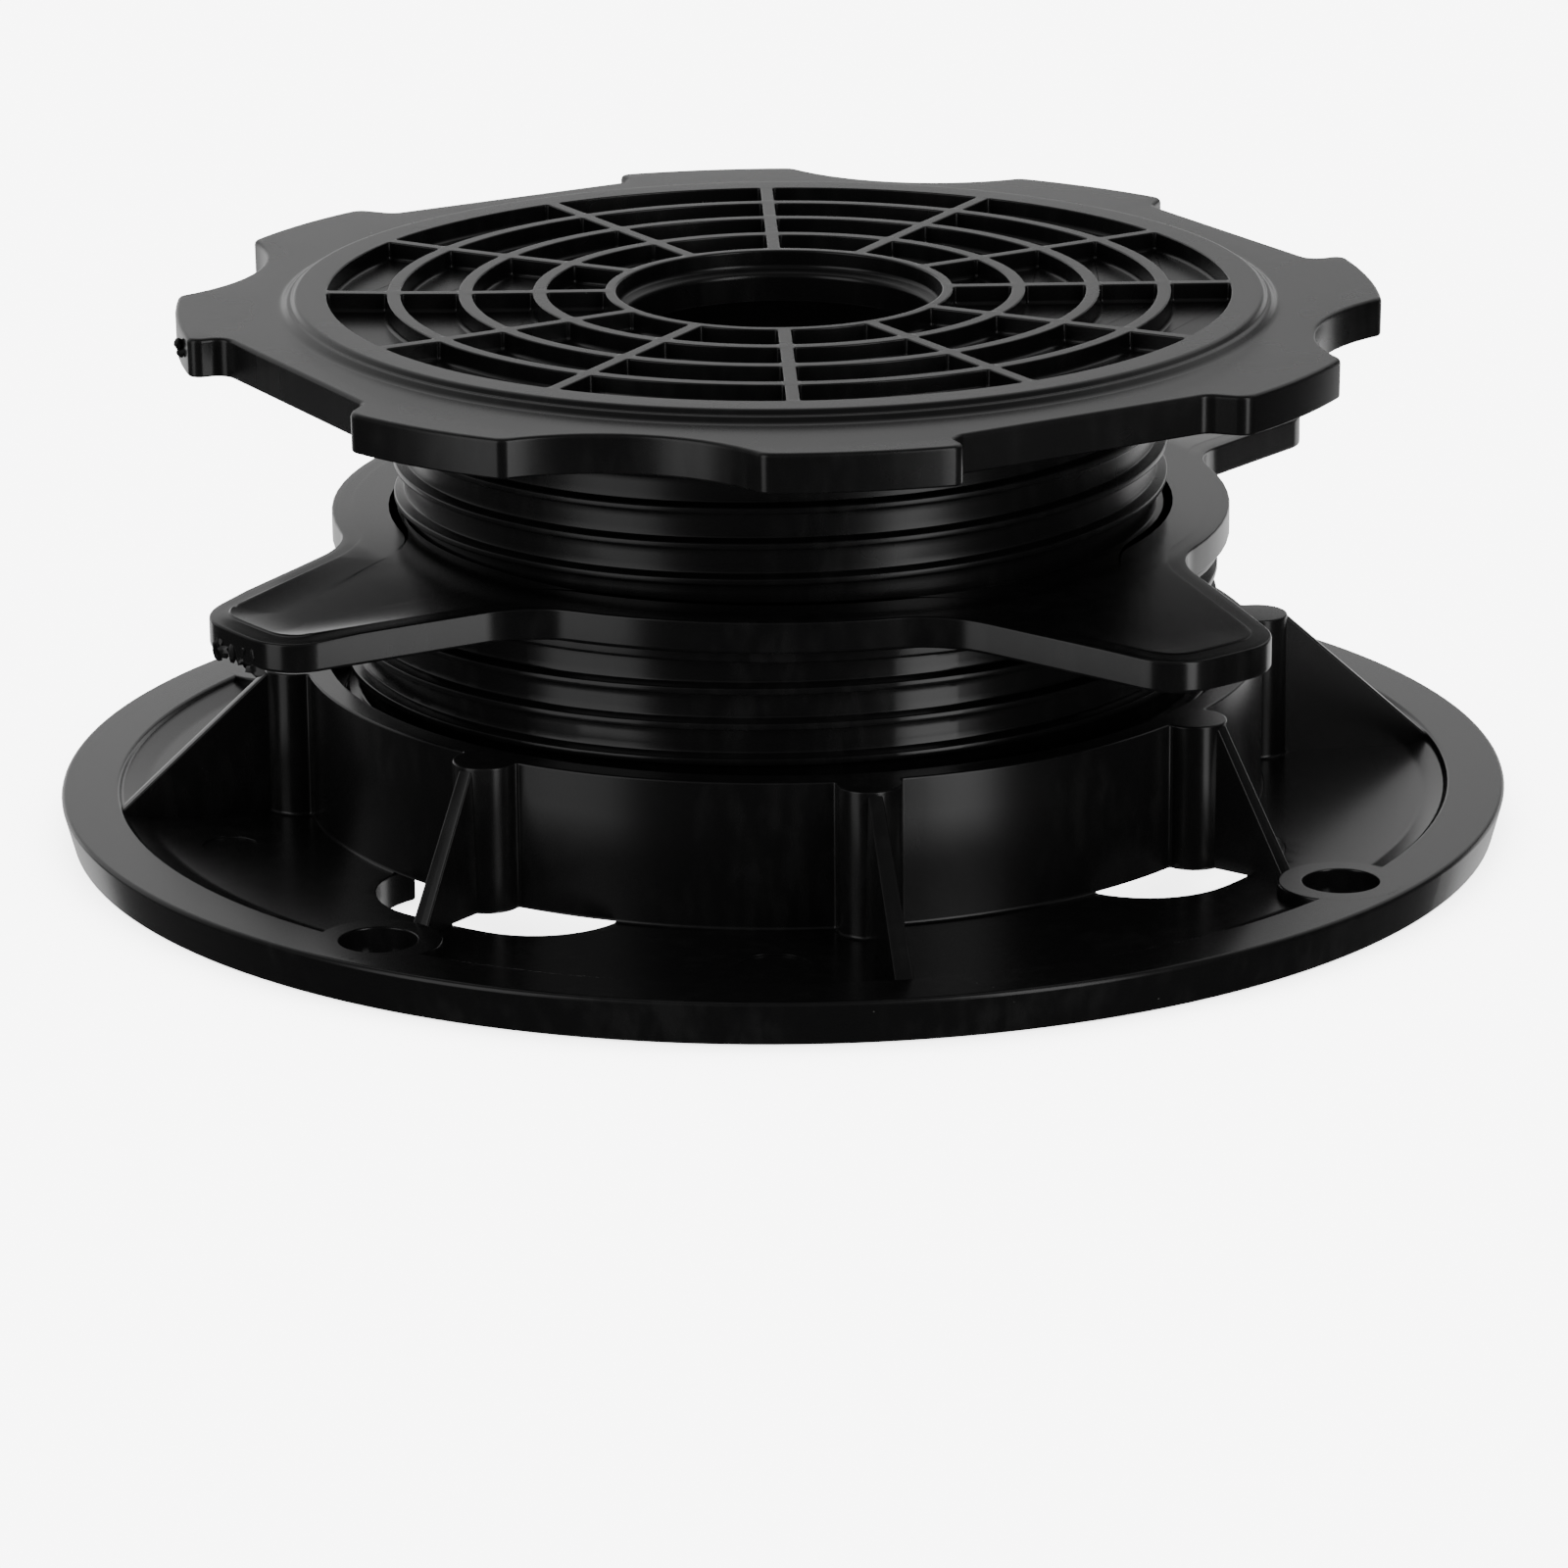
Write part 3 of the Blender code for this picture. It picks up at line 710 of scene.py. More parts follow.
    def pocket(self, skin: Skin, inner: float, outer: float, angle: float) -> Loop:
        """Sinks one hollow between two round ribs and two spokes.

        Args:
            skin: The mesh that it goes into.
            inner: The radius of the rib nearer the hub.
            outer: The radius of the rib farther out.
            angle: The angle of the spoke on its clockwise side.

        Returns:
            The hollow's rim, level with the top of the ribs.
        """
        half, bay = self.spoke_width / 2, 360 / self.spokes
        near, far = (math.degrees(math.asin(half / radius)) for radius in (inner, outer))
        rim = arc(AXIS, outer, angle + far, angle + bay - far, 9)
        rim += arc(AXIS, inner, angle + bay - near, angle + near, 7)
        corners = [(p.x, p.y, 0.0) for p in rim]
        for index in (0, 9, 10, 17):
            corners[index] = (*corners[index][:2], self.pocket_corner)
        outline = fillet(corners, closed=True, steps=3)
        floor = self.top - self.field_depth
        edge, foot = self.rib_edge, self.pocket_foot
        rows = []
        for turn in (0.0, 30.0, 60.0, 90.0):
            down, out = rounding(edge, turn)
            rows.append(lift(inset(outline, -out), self.top - down))
        for turn in (0.0, 35.0, 65.0, 90.0):
            inward, rise = rounding(foot, turn)
            rows.append(lift(inset(outline, SEAM + inward), floor + rise))
        rim_loop = skin.loop(rows[0])
        skin.lid(skin.stack(rim_loop, rows[1:]))
        return rim_loop

    def pockets(self, skin: Skin) -> list[Loop]:
        """Sinks all the hollows, band by band from the hub outwards, and returns their rims."""
        half = self.rib_width / 2
        hub = self.hub_bore + self.hub_rib
        inner_edges = [hub, *(radius + half for radius in self.rib_radii)]
        outer_edges = [*(radius - half for radius in self.rib_radii), self.field_radius]
        rims = []
        for inner, outer in zip(inner_edges, outer_edges):
            for angle in even_angles(self.spokes, self.spoke_angle):
                rims.append(self.pocket(skin, inner, outer, angle))
        return rims

    def core(self) -> tuple[Points, Points]:
        """The hub's bore and the flange's underside inside the stem, then the stem's lower edge."""
        narrow = self.hub_bore - self.hub_ledge
        ledge = self.top - self.hub_depth
        tip = self.underside - self.stem_length
        inside = (
            (self.hub_bore + 0.0005, self.top, 0.0),
            (self.hub_bore, self.top, 0.0003),
            (self.hub_bore - 0.00005, ledge, 0.0007),
            (narrow, ledge - self.hub_fall, 0.0008),
            (narrow, self.underside, 0.0004),
            (self.stem_bore, self.underside, 0.0008),
            (self.stem_bore, tip, 0.0004),
            (self.stem_root, tip, 0.0005),
            (self.stem_root, tip + 0.0012, 0.0),
        )
        neck = (
            (self.stem_root, self.underside - 0.0012, 0.0),
            (self.stem_root, self.underside, 0.0006),
            (self.stem_root + 0.0012, self.underside, 0.0),
        )
        return fillet(inside, closed=False, steps=4), fillet(neck, closed=False, steps=4)

    def sag(self, point: Vector) -> Vector:
        """The slight lift of the head's left side."""
        return UP * (self.sag_lift * smooth(-point.x, *self.sag_span))

    def build(self, finish: SatinPolypropylene) -> bpy.types.Object:
        """Makes the head and dresses it."""
        skin = Skin()
        outline = self.outline()
        low, high = self.bottom_edge, self.top_edge
        rows = []
        for turn in (90.0, 60.0, 30.0, 0.0):
            inward, rise = rounding(low, turn)
            rows.append(lift(inset(outline, SEAM + inward), self.underside + rise))
        for turn in (0.0, 30.0, 60.0, 90.0):
            inward, drop = rounding(high, turn)
            rows.append(lift(inset(outline, inward), self.flange_top - drop))
        bottom = skin.loop(rows[0])
        shoulder = skin.stack(bottom, rows[1:])
        angles = even_angles(self.columns)
        edge = self.raised_edge()
        foot = skin.loop(lift(circle(edge[0].x, angles), edge[0].y))
        crown = skin.turned(foot, edge[1:], angles)
        skin.flat(shoulder, [foot])
        inside, neck = self.core()
        mouth = skin.loop(lift(circle(inside[0].x, angles), inside[0].y))
        tip = skin.turned(mouth, inside[1:], angles)
        root = skin.thread(
            tip,
            angles,
            (inside[-1].y, neck[0].y),
            (self.stem_root, self.stem_crest),
            self.thread_phase,
            self.ridge,
        )
        collar = skin.turned(root, neck[1:], angles)
        skin.flat(crown, [mouth, *self.pockets(skin)])
        skin.flat(bottom, [collar])
        for angle, out, height, size in self.gate:
            spot = polar(self.radius + out, angle)
            skin.crumb(Vector((spot.x, spot.y, height)), Vector(size), 0.9)
        head = skin.done("head_moulding")
        warp(head, self.sag)
        shade(head, 40.0)
        dress(head, Moulding.HEAD, finish.material())
        return head


@dataclass
class AdjustingRing:
    """The adjusting ring: four dished lobes round a sleeve that is threaded inside and outside."""

    seat: float = 0.0405
    thickness: float = 0.0044
    slope: float = 0.0018
    lobe_angle: float = 39.1
    reach: float = 0.0914
    tip_half_width: float = 0.0118
    flank_spread: float = 0.0100
    corner: float = 0.0078
    hollow_round: float = 0.0150
    waist: float = 0.0616
    neck: float = 0.0605
    neck_drop: float = 0.0016
    sleeve: float = 0.0583
    sleeve_crest: float = 0.0600
    sleeve_length: float = 0.0250
    bore: float = 0.0539
    bore_crest: float = 0.0520
    inner_phase: float = 0.0426
    outer_phase: float = 0.0362
    gate: tuple[Crumb, ...] = (
        (216.2, -0.0003, 0.0006, (0.0007, 0.0008, 0.0013)),
        (216.8, -0.0002, 0.0018, (0.0005, 0.0008, 0.0011)),
        (217.6, -0.0002, 0.0008, (0.0007, 0.0013, 0.0009)),
        (218.6, -0.0002, 0.0010, (0.0006, 0.0008, 0.0013)),
        (219.7, -0.0004, 0.0003, (0.0006, 0.0012, 0.0007)),
        (221.3, -0.0006, -0.0002, (0.0009, 0.0016, 0.0010)),
        (220.2, 0.0000, 0.0017, (0.0002, 0.0004, 0.0008)),
        (221.4, 0.0000, 0.0017, (0.0002, 0.0004, 0.0008)),
    )
    lip: float = 0.0028
    lip_fall: float = 0.00004
    tip_fall: float = 0.00012
    left_fall: float = 0.00030
    crease: float = 0.55
    bore_lip: float = 0.0007
    bore_roll: float = 0.0002
    start_angle: float = 185.0
    start_half: float = 60.0
    start_depth: float = 0.0013
    thread_start: float = 0.0055
    lip_slope: float = 0.0062
    dish: float = 0.00008
    left_dish: float = 0.00040
    dish_start: float = 0.0575
    dish_low: float = 0.0820
    dish_span: tuple[float, float] = (0.002, 0.014)
    tip_span: tuple[float, float] = (0.011, 0.001)
    left_span: tuple[float, float] = (0.03, 0.06)
    start_blend: float = 25.0
    sag_lift: float = 0.00095
    sag_span: tuple[float, float] = (0.058, 0.090)
    top_edge: float = 0.00035
    bottom_edge: float = 0.0005
    ridge: Ridge = field(default_factory=Ridge)

    @property
    def top(self) -> float:
        """The height of the ring's upper face at the waist."""
        return self.seat + self.thickness

    def fall(self, radius: float) -> float:
        """How far the lobes have come down at this radius."""
        return self.slope * max(radius - self.waist, 0.0) / (self.reach - self.waist)

    def half_lobe(self) -> Points:
        """Half of a lobe that points along +X, from its tip along the flank to the waist."""
        run = self.reach - self.waist
        flank = Vector((-run, self.flank_spread)).normalized()
        side = Vector((flank.y, -flank.x))
        edge = Vector((self.reach - self.corner, self.tip_half_width))
        corner_centre = self.on_line(edge - side * self.corner, flank, self.reach - self.corner)
        hollow = self.on_line(
            edge + side * self.hollow_round, flank, self.waist + self.hollow_round
        )
        start, facing = heading(corner_centre), heading(side)
        points = arc(AXIS, self.reach, 0.0, start, 6)[:-1]
        points += arc(corner_centre, self.corner, start, facing, 9)
        out = arc(hollow, self.hollow_round, heading(-side) % 360, heading(-hollow) % 360, 14)
        between = out[0] - points[-1]
        points += [points[-1] + between * share for share in (0.25, 0.5, 0.75)]
        return points + out

    @staticmethod
    def on_line(point: Vector, direction: Vector, distance: float) -> Vector:
        """The point on a line that lies this far from the axis, on the outer side."""
        short = point - direction * point.dot(direction)
        return short - direction * math.sqrt(max(distance**2 - short.length_squared, 0.0))

    def outline(self) -> Points:
        """The ring's plan, anticlockwise from the foot of one lobe."""
        upper = self.half_lobe()
        lower = [Vector((p.x, -p.y)) for p in reversed(upper[1:])]
        lobe = lower + upper
        end = heading(upper[-1])
        waist = arc(AXIS, self.waist, end, 90.0 - end, 10)[1:-1]
        points: Points = []
        for side in range(4):
            turn = Matrix.Rotation(math.radians(self.lobe_angle + 90.0 * side), 2)
            points += [turn @ p for p in lobe + waist]
        return points

    def build(self, finish: SatinPolypropylene) -> bpy.types.Object:
        """Makes the ring and dresses it."""
        skin = Skin()
        outline = self.outline()
        angles = self.column_angles(outline)
        near, far = (self.waist + out for out in self.dish_span)
        lobes = [smooth(p.length, near, far) for p in outline]
        low, high = self.bottom_edge, self.top_edge
        rows: list[Points] = []
        for turn in (90.0, 60.0, 30.0, 0.0):
            inward, rise = rounding(low, turn)
            rows.append(self.at_height(inset(outline, inward), rise))
        for turn in (0.0, 25.0, 50.0, 75.0):
            inward, drop = rounding(high, turn)
            row = self.at_height(inset(outline, inward), self.thickness)
            rows.append(self.rolled(row, outline, 1.0, drop))
        lip = ((0.4, 0.78), (0.86, self.crease), (0.93, self.crease * 0.5), (1.0, 0.0))
        for step, share in lip:
            row = self.at_height(inset(outline, high + (self.lip - high) * step), self.thickness)
            rows.append(self.rolled(row, outline, share, 0.0))
        for step in (0.08, 0.2, 0.35, 0.5, 0.65, 0.8, 0.92, 1.0):
            row = inset(outline, self.lip + self.lip_slope * step)
            rows.append(self.dished(row, lobes, 1 - (1 - step) ** 2))
        inner_edge = inset(outline, self.lip + self.lip_slope)
        mouth = self.bore - self.bore_lip
        rim = circle(mouth + self.bore_roll + 0.0004, angles)
        for step in (0.12, 0.25, 0.4, 0.55, 0.7, 0.85, 1.0):
            row = [a.lerp(b, step) for a, b in zip(inner_edge, rim)]
            rows.append(self.dished(row, lobes, 1.0))
        bottom = skin.loop(rows[0])
        crown = skin.stack(bottom, rows[1:])
        tip = self.seat - self.sleeve_length
        lead = (
            (mouth + self.bore_roll * 0.4, 0.0, 1.0),
            (mouth + self.bore_roll * 0.1, self.bore_roll * 0.3, 1.0),
            (mouth, self.bore_roll, 1.0),
            (mouth, 0.0013, 1.0),
            (mouth, 0.0020, 0.0),
            (mouth, self.thread_start - 0.0010, 0.0),
            (self.bore, self.thread_start, 0.0),
        )
        edge = fillet(
            (
                (self.bore, tip + 0.0012, 0.0),
                (self.bore, tip, 0.0004),
                (self.sleeve, tip, 0.0006),
                (self.sleeve, tip + 0.0014, 0.0),
            ),
            closed=False,
        )
        neck = fillet(
            (
                (self.sleeve, self.seat - self.neck_drop - 0.0010, 0.0),
                (self.sleeve, self.seat - self.neck_drop, 0.0004),
                (self.neck, self.seat - self.neck_drop, 0.0005),
                (self.neck, self.seat, 0.0003),
                (self.neck + 0.0005, self.seat, 0.0),
            ),
            closed=False,
        )
        inner = skin.stack(crown, [self.throat(angles, *place) for place in lead])
        inner = skin.thread(
            inner,
            angles,
            (self.top - self.thread_start, edge[0].y),
            (self.bore, self.bore_crest),
            self.inner_phase,
            self.ridge,
        )
        outer = skin.turned(inner, edge[1:], angles)
        outer = skin.thread(
            outer,
            angles,
            (edge[-1].y, neck[0].y),
            (self.sleeve, self.sleeve_crest),
            self.outer_phase,
            self.ridge,
        )
        collar = skin.turned(outer, neck[1:], angles)
        foot = circle(self.neck + 0.0005, angles)
        under = [p.copy() for p in inset(outline, low)]
        for step in (0.25, 0.5, 0.75):
            row = [a.lerp(b, step) for a, b in zip(foot, under)]
            collar = skin.strip(collar, skin.loop(self.at_height(row, 0.0)))
        skin.close(bottom, collar)
        for angle, out, rise, size in self.gate:
            spot = polar(self.reach + out, angle)
            height = self.seat - self.slope + rise
            skin.crumb(Vector((spot.x, spot.y, height)), Vector(size), 0.8)
        ring = skin.done("ring_moulding")
        warp(ring, self.sag)
        shade(ring, 40.0)
        dress(ring, Moulding.RING, finish.material())
        return ring

    def sag(self, point: Vector) -> Vector:
        """The slight lift of the left lobe's tip."""
        return UP * (self.sag_lift * smooth(-point.x, *self.sag_span))

    def column_angles(self, outline: Points) -> list[float]:
        """The outline's own angles, rising steadily through one turn."""
        angles = [heading(p) for p in outline]
        for i in range(1, len(angles)):
            while angles[i] <= angles[i - 1]:
                angles[i] += 360.0 if angles[i] < angles[i - 1] - 90.0 else 0.02
        return angles

    def throat(self, angles: Sequence[float], radius: float, depth: float, share: float) -> Points:
        """A row of the bore near its mouth, drawn in where the thread starts.

        Args:
            angles: The columns' angles.
            radius: The bore's radius there.
            depth: How far the row lies below the ring's upper face.
            share: How much of the start of the thread shows in the row.

        Returns:
            The row.
        """
        row = []
        for angle in angles:
            away = abs((angle - self.start_angle + 180.0) % 360.0 - 180.0)
            start = self.start_depth * share * smooth(self.start_half - away, 0.0, self.start_blend)
            row += lift([polar(radius - start, angle)], self.top - depth)
        return row

    def at_height(self, row: Sequence[Vector], rise: float) -> Points:
        """Sets plan points on the sloping lobes, this far above their underside."""
        return [Vector((p.x, p.y, self.seat + rise - self.fall(p.length))) for p in row]

    def rolled(
        self, row: Points, outline: Sequence[Vector], share: float, drop: float
    ) -> Points:
        """Lowers a row along the lip.

        Args:
            row: The row, level with the lip's crest.
            outline: The ring's plan, point for point as in the row.
            share: How much of the lip's fall applies.
            drop: What the row comes down besides.

        Returns:
            The lowered row, lowest round the lobes' tips.
        """
        near, far = (self.reach - back for back in self.tip_span)
        for point, edge in zip(row, outline):
            tip = smooth(edge.length, near, far)
            fall = self.tip_fall + self.left_fall * smooth(-edge.x, *self.left_span)
            point.z -= (self.lip_fall + fall * tip) * share + drop
        return row

    def dished(self, row: Sequence[Vector], lobes: Sequence[float], share: float) -> Points:
        """Sets plan points on the lobes' upper face, scooped out as far as the share says."""
        points = []
        for p, lobe in zip(row, lobes):
            dish = self.dish + self.left_dish * smooth(-p.x, *self.left_span)
            depth = dish * smooth(p.length, self.dish_start, self.dish_low) * lobe * share
            points.append(Vector((p.x, p.y, self.top - self.fall(p.length) - depth)))
        return points


@dataclass
class Base:
    """The base: plate with a rim, threaded collar, pillars, gussets, screw bosses and slots."""

    radius: float = 0.1000
    draft: float = 0.0016
    rim: float = 0.0061
    rim_inner: float = 0.0920
    rim_edge: float = 0.0006
    cove: float = 0.0885
    rim_step: float = 0.0009
    floor: float = 0.0045
    collar: float = 0.0663
    bore: float = 0.0628
    crest: float = 0.0605
    height: float = 0.0246
    thread_phase: float = 0.0346
    pillars: int = 8
    pillar_angle: float = 9.6
    pillar_radius: float = 0.0043
    pillar_centre: float = 0.0673
    pillar_blend: float = 0.0005
    foot: float = 0.0005
    top_edge: float = 0.0003
    gusset_top: float = 0.0020
    gusset_foot: float = 0.0024
    gusset_drop: float = 0.0006
    gusset_round: float = 0.0004
    gusset_crown: float = 0.00012
    screws: int = 4
    screw_angle: float = -35.5
    screw_centre: float = 0.0903
    screw_hole: float = 0.00505
    boss_wall: float = 0.0033
    slot_reach: float = 0.0763
    slot_half: float = 16.4
    slot_corner: float = 0.0125
    slot_roof: float = 0.0047
    marks: tuple[tuple[float, float, float], ...] = (
        (0.0800, -159.4, 0.00375),
        (0.0807, -91.0, 0.0050),
    )
    edge: float = 0.0003
    wall_steps: int = 16
    ridge: Ridge = field(default_factory=Ridge)

    @property
    def boss(self) -> float:
        """The radius of a screw boss."""
        return self.screw_hole + self.boss_wall

    @property
    def floor_start(self) -> float:
        """The radius at which the plate's turned profile starts on the floor."""
        return self.cove - 0.004

    def collar_outline(self) -> Points:
        """The collar's outer wall with the half-round pillars that swell from it."""
        blend = self.pillar_blend
        far = self.collar + blend
        reach = self.pillar_radius + blend
        pillar = Vector((self.pillar_centre, 0.0))
        share = (far**2 + self.pillar_centre**2 - reach**2) / (2 * far * self.pillar_centre)
        swing = math.degrees(math.acos(share))
        hollow = polar(far, swing)
        leave = heading(hollow - pillar)
        upper = arc(pillar, self.pillar_radius, 0.0, leave, 12)
        upper += arc(hollow, blend, leave + 180.0, swing + 180.0, 5)[1:]
        lower = [Vector((p.x, -p.y)) for p in reversed(upper[1:])]
        step = 360.0 / self.pillars
        wall = arc(AXIS, self.collar, swing, step - swing, self.wall_steps)[1:-1]
        points: Points = []
        for angle in even_angles(self.pillars, self.pillar_angle):
            turn = Matrix.Rotation(math.radians(angle), 2)
            points += [turn @ p for p in lower + upper + wall]
        return points

    def spread(self, outline: Sequence[Vector]) -> list[float]:
        """Column angles for the round walls, shared out by the outline's own length."""
        gaps = [(outline[i] - outline[i - 1]).length for i in range(1, len(outline))]
        whole = sum(gaps) + (outline[0] - outline[-1]).length
        angles = [heading(outline[0])]
        for gap in gaps:
            angles.append(angles[-1] + 360.0 * gap / whole)
        middle = (len(outline) // self.pillars - self.wall_steps) // 2
        slip = angles[middle] - self.pillar_angle
        return [angle - slip for angle in angles]

    def plate_profile(self) -> Points:
        """The plate from the floor out over the rim and back under, as (radius, height)."""
        step = self.rim_inner - 0.0005
        corners = (
            (self.cove, self.floor, 0.0040),
            (step, self.rim - self.rim_step, 0.0008),
            (self.rim_inner, self.rim, 0.0006),
            (self.radius, self.rim, self.rim_edge),
            (self.radius - self.draft, 0.0, 0.0004),
            (self.bore + 0.0010, 0.0, 0.0),
        )
        start = (self.floor_start, self.floor, 0.0)
        return fillet((start, *corners), closed=False, steps=5)

    def shell(self) -> bpy.types.Object:
        """The plate and the collar with its pillars and thread, as one closed surface."""
        skin = Skin()
        outline = self.collar_outline()
        angles = self.spread(outline)
        foot, edge = self.foot, self.top_edge
        rise = self.height - self.floor - foot - edge
        rows = []
        for turn in (0.0, 25.0, 50.0, 75.0):
            down, inward = rounding(edge, turn)
            rows.append(lift(inset(outline, inward), self.height - down))
        for share in (1.0, 0.8, 0.6, 0.4, 0.2):
            rows.append(lift(outline, self.floor + foot + rise * share))
        for turn in (0.0, 25.0, 50.0, 70.0, 90.0):
            out, up = rounding(foot, turn)
            rows.append(lift(inset(outline, -out), self.floor + up))
        crown = skin.loop(rows[0])
        wall = skin.stack(crown, rows[1:])
        start = inset(outline, -foot)
        out = circle(self.floor_start, angles)
        for step in (0.2, 0.45, 0.7):
            row = [a.lerp(b, step) for a, b in zip(start, out)]
            wall = skin.strip(wall, skin.loop(lift(row, self.floor)))
        wall = skin.turned(wall, self.plate_profile(), angles)
        lead = fillet(
            ((self.bore + 0.001, 0.0, 0.0), (self.bore, 0.0, 0.0004), (self.bore, 0.0050, 0.0)),
            closed=False,
        )
        wall = skin.turned(wall, lead[1:], angles)
        lip = fillet(
            (
                (self.bore, self.height - 0.0008, 0.0),
                (self.bore, self.height, self.top_edge),
                (self.bore + 0.0006, self.height, 0.0),
            ),
            closed=False,
        )
        wall = skin.thread(
            wall,
            angles,
            (lead[-1].y, lip[0].y),
            (self.bore, self.crest),
            self.thread_phase,
            self.ridge,
        )
        mouth = skin.turned(wall, lip[1:], angles)
        skin.flat(crown, [mouth])
        return skin.done("base_moulding")

    def pins(self, name: str, rows: Sequence[tuple[float, float]]) -> bpy.types.Object:
        """Round tools at the screw holes, each a stack of (radius, height) discs."""
        skin = Skin()
        for angle in even_angles(self.screws, self.screw_angle):
            centre = polar(self.screw_centre, angle)
            skin.solid([disc_edge(centre, radius, height) for radius, height in rows])
        return skin.done(name)

    def ejector_marks(self) -> bpy.types.Object:
        """The tool that sinks the shallow round ejector marks into the floor."""
        skin = Skin()
        profile = ((-0.0002, -0.00022), (0.0, -0.00010), (0.0001, 0.001))
        for distance, angle, radius in self.marks:
            centre = polar(distance, angle)
            skin.solid([disc_edge(centre, radius + out, self.floor + up) for out, up in profile])
        return skin.done("mark_tool")

    def slot_outline(self, angle: float) -> Points:
        """A drain slot that runs out from under the collar, with its outer corners rounded."""
        middle = self.slot_reach - self.slot_corner
        inward = math.degrees(math.asin(self.slot_corner / middle))
        left, right = angle + self.slot_half, angle - self.slot_half
        first, last = right + inward, left - inward
        points = arc(AXIS, self.bore - 0.002, left, right, 12)
        points += arc(polar(middle, first), self.slot_corner, right - 90, first, 12)
        points += arc(AXIS, self.slot_reach, first, last, 10)[1:-1]
        points += arc(polar(middle, last), self.slot_corner, last, left + 90, 12)
        return points

    def slots(self) -> bpy.types.Object:
        """The tool that cuts the drain slots, flared where it leaves the floor."""
        skin = Skin()
        for angle in even_angles(self.screws, self.screw_angle):
            outline = self.slot_outline(angle)
            mouth = inset(outline, -self.edge)
            skin.solid(
                [
                    lift(outline, -0.002),
                    lift(outline, self.floor - self.edge),
                    lift(inset(outline, -self.edge * 0.25), self.floor - self.edge * 0.35),
                    lift(mouth, self.floor + 0.00002),
                    lift(mouth, self.slot_roof),
                ]
            )
        return skin.done("slot_tool")

    def gussets(self) -> bpy.types.Object:
        """The thin webs from the pillars down to the rim, or to the screw boss in the way."""
        skin = Skin()
        for angle in even_angles(self.pillars, self.pillar_angle):
            gap = (angle - self.screw_angle + 45.0) % 90.0 - 45.0
            meets_boss = abs(gap) < 11.0
            foot = self.screw_centre - self.boss if meets_boss else self.rim_inner
            self.gusset(skin, angle, foot)
        return skin.done("gusset_tool")

    def gusset(self, skin: Skin, angle: float, foot: float) -> None:
        """Adds one web.

        Args:
            skin: The mesh that it goes into.
            angle: The direction that it runs in.
            foot: The radius at which its sloping edge comes down.
        """
        start = self.pillar_centre + self.pillar_radius / 2
        shoulder = self.pillar_centre + self.pillar_radius
        top, low = self.height - self.gusset_drop, self.rim - self.gusset_drop
        turn = Matrix.Rotation(math.radians(angle), 3, "Z")
        stations = (
            (start, top, self.gusset_top),
            (shoulder, top, self.gusset_top),
            (foot, low, self.gusset_foot),
            (foot + 0.0012, low - 0.0009, self.gusset_foot),
        )
        loops = []
        for radius, height, width in stations:
            half = width / 2
            across = fillet(
                (
                    (-half - 0.0004, self.floor - 0.0015, 0.0),
                    (half + 0.0004, self.floor - 0.0015, 0.0),
                    (half, height, self.gusset_round),
                    (0.0, height + self.gusset_crown, 0.0),
                    (-half, height, self.gusset_round),
                ),
                closed=True,
                steps=5,
            )
            loops.append(skin.loop([turn @ Vector((radius, p.x, p.y)) for p in across]))
        for near, far in zip(loops, loops[1:]):
            skin.strip(near, far)
        skin.lid(loops[0])
        skin.lid(loops[-1])

    def build(self, finish: SatinPolypropylene) -> bpy.types.Object:
        """Makes the base and dresses it."""
        base = self.shell()
        boss, hole, edge, rim = self.boss, self.screw_hole, self.edge, self.rim
        bosses = (
            (boss + 0.0001, self.floor / 2),
            (boss, rim - edge),
            (boss - edge * 0.3, rim - edge * 0.3),
            (boss - edge, rim + 0.00001),
        )
        holes = (
            (hole, -0.002),
            (hole, rim - edge),
            (hole + edge * 0.3, rim - edge * 0.3),
            (hole + edge, rim + 0.00003),
            (hole + edge, rim + 0.002),
        )
        combine(base, "UNION", self.pins("boss_tool", bosses))
        combine(base, "UNION", self.gussets())
        combine(base, "DIFFERENCE", self.slots())
        combine(base, "DIFFERENCE", self.pins("hole_tool", holes))
        combine(base, "DIFFERENCE", self.ejector_marks())
        shade(base, 32.0)
        dress(base, Moulding.BASE, finish.material())
        return base


@dataclass(frozen=True)
class Softbox:
    """A rectangular area light that looks at the pedestal."""

    name: str
    azimuth: float
    elevation: float
    distance: float
    size: tuple[float, float]
    power: float

    def build(self, target: Vector) -> bpy.types.Object:
        """Hangs the light and turns it to the target."""
        data = bpy.data.lights.new(self.name, "AREA")
        data.shape = "RECTANGLE"
        data.size, data.size_y = self.size
        data.energy = self.power
        item = bpy.data.objects.new(self.name, data)
        flat = polar(self.distance * math.cos(math.radians(self.elevation)), self.azimuth)
        rise = self.distance * math.sin(math.radians(self.elevation))
        item.location = Vector((flat.x, flat.y, rise)) + target
        item.rotation_euler = (target - item.location).to_track_quat("-Z", "Y").to_euler()
        item.visible_camera = False
        bpy.context.scene.collection.objects.link(item)
        return item


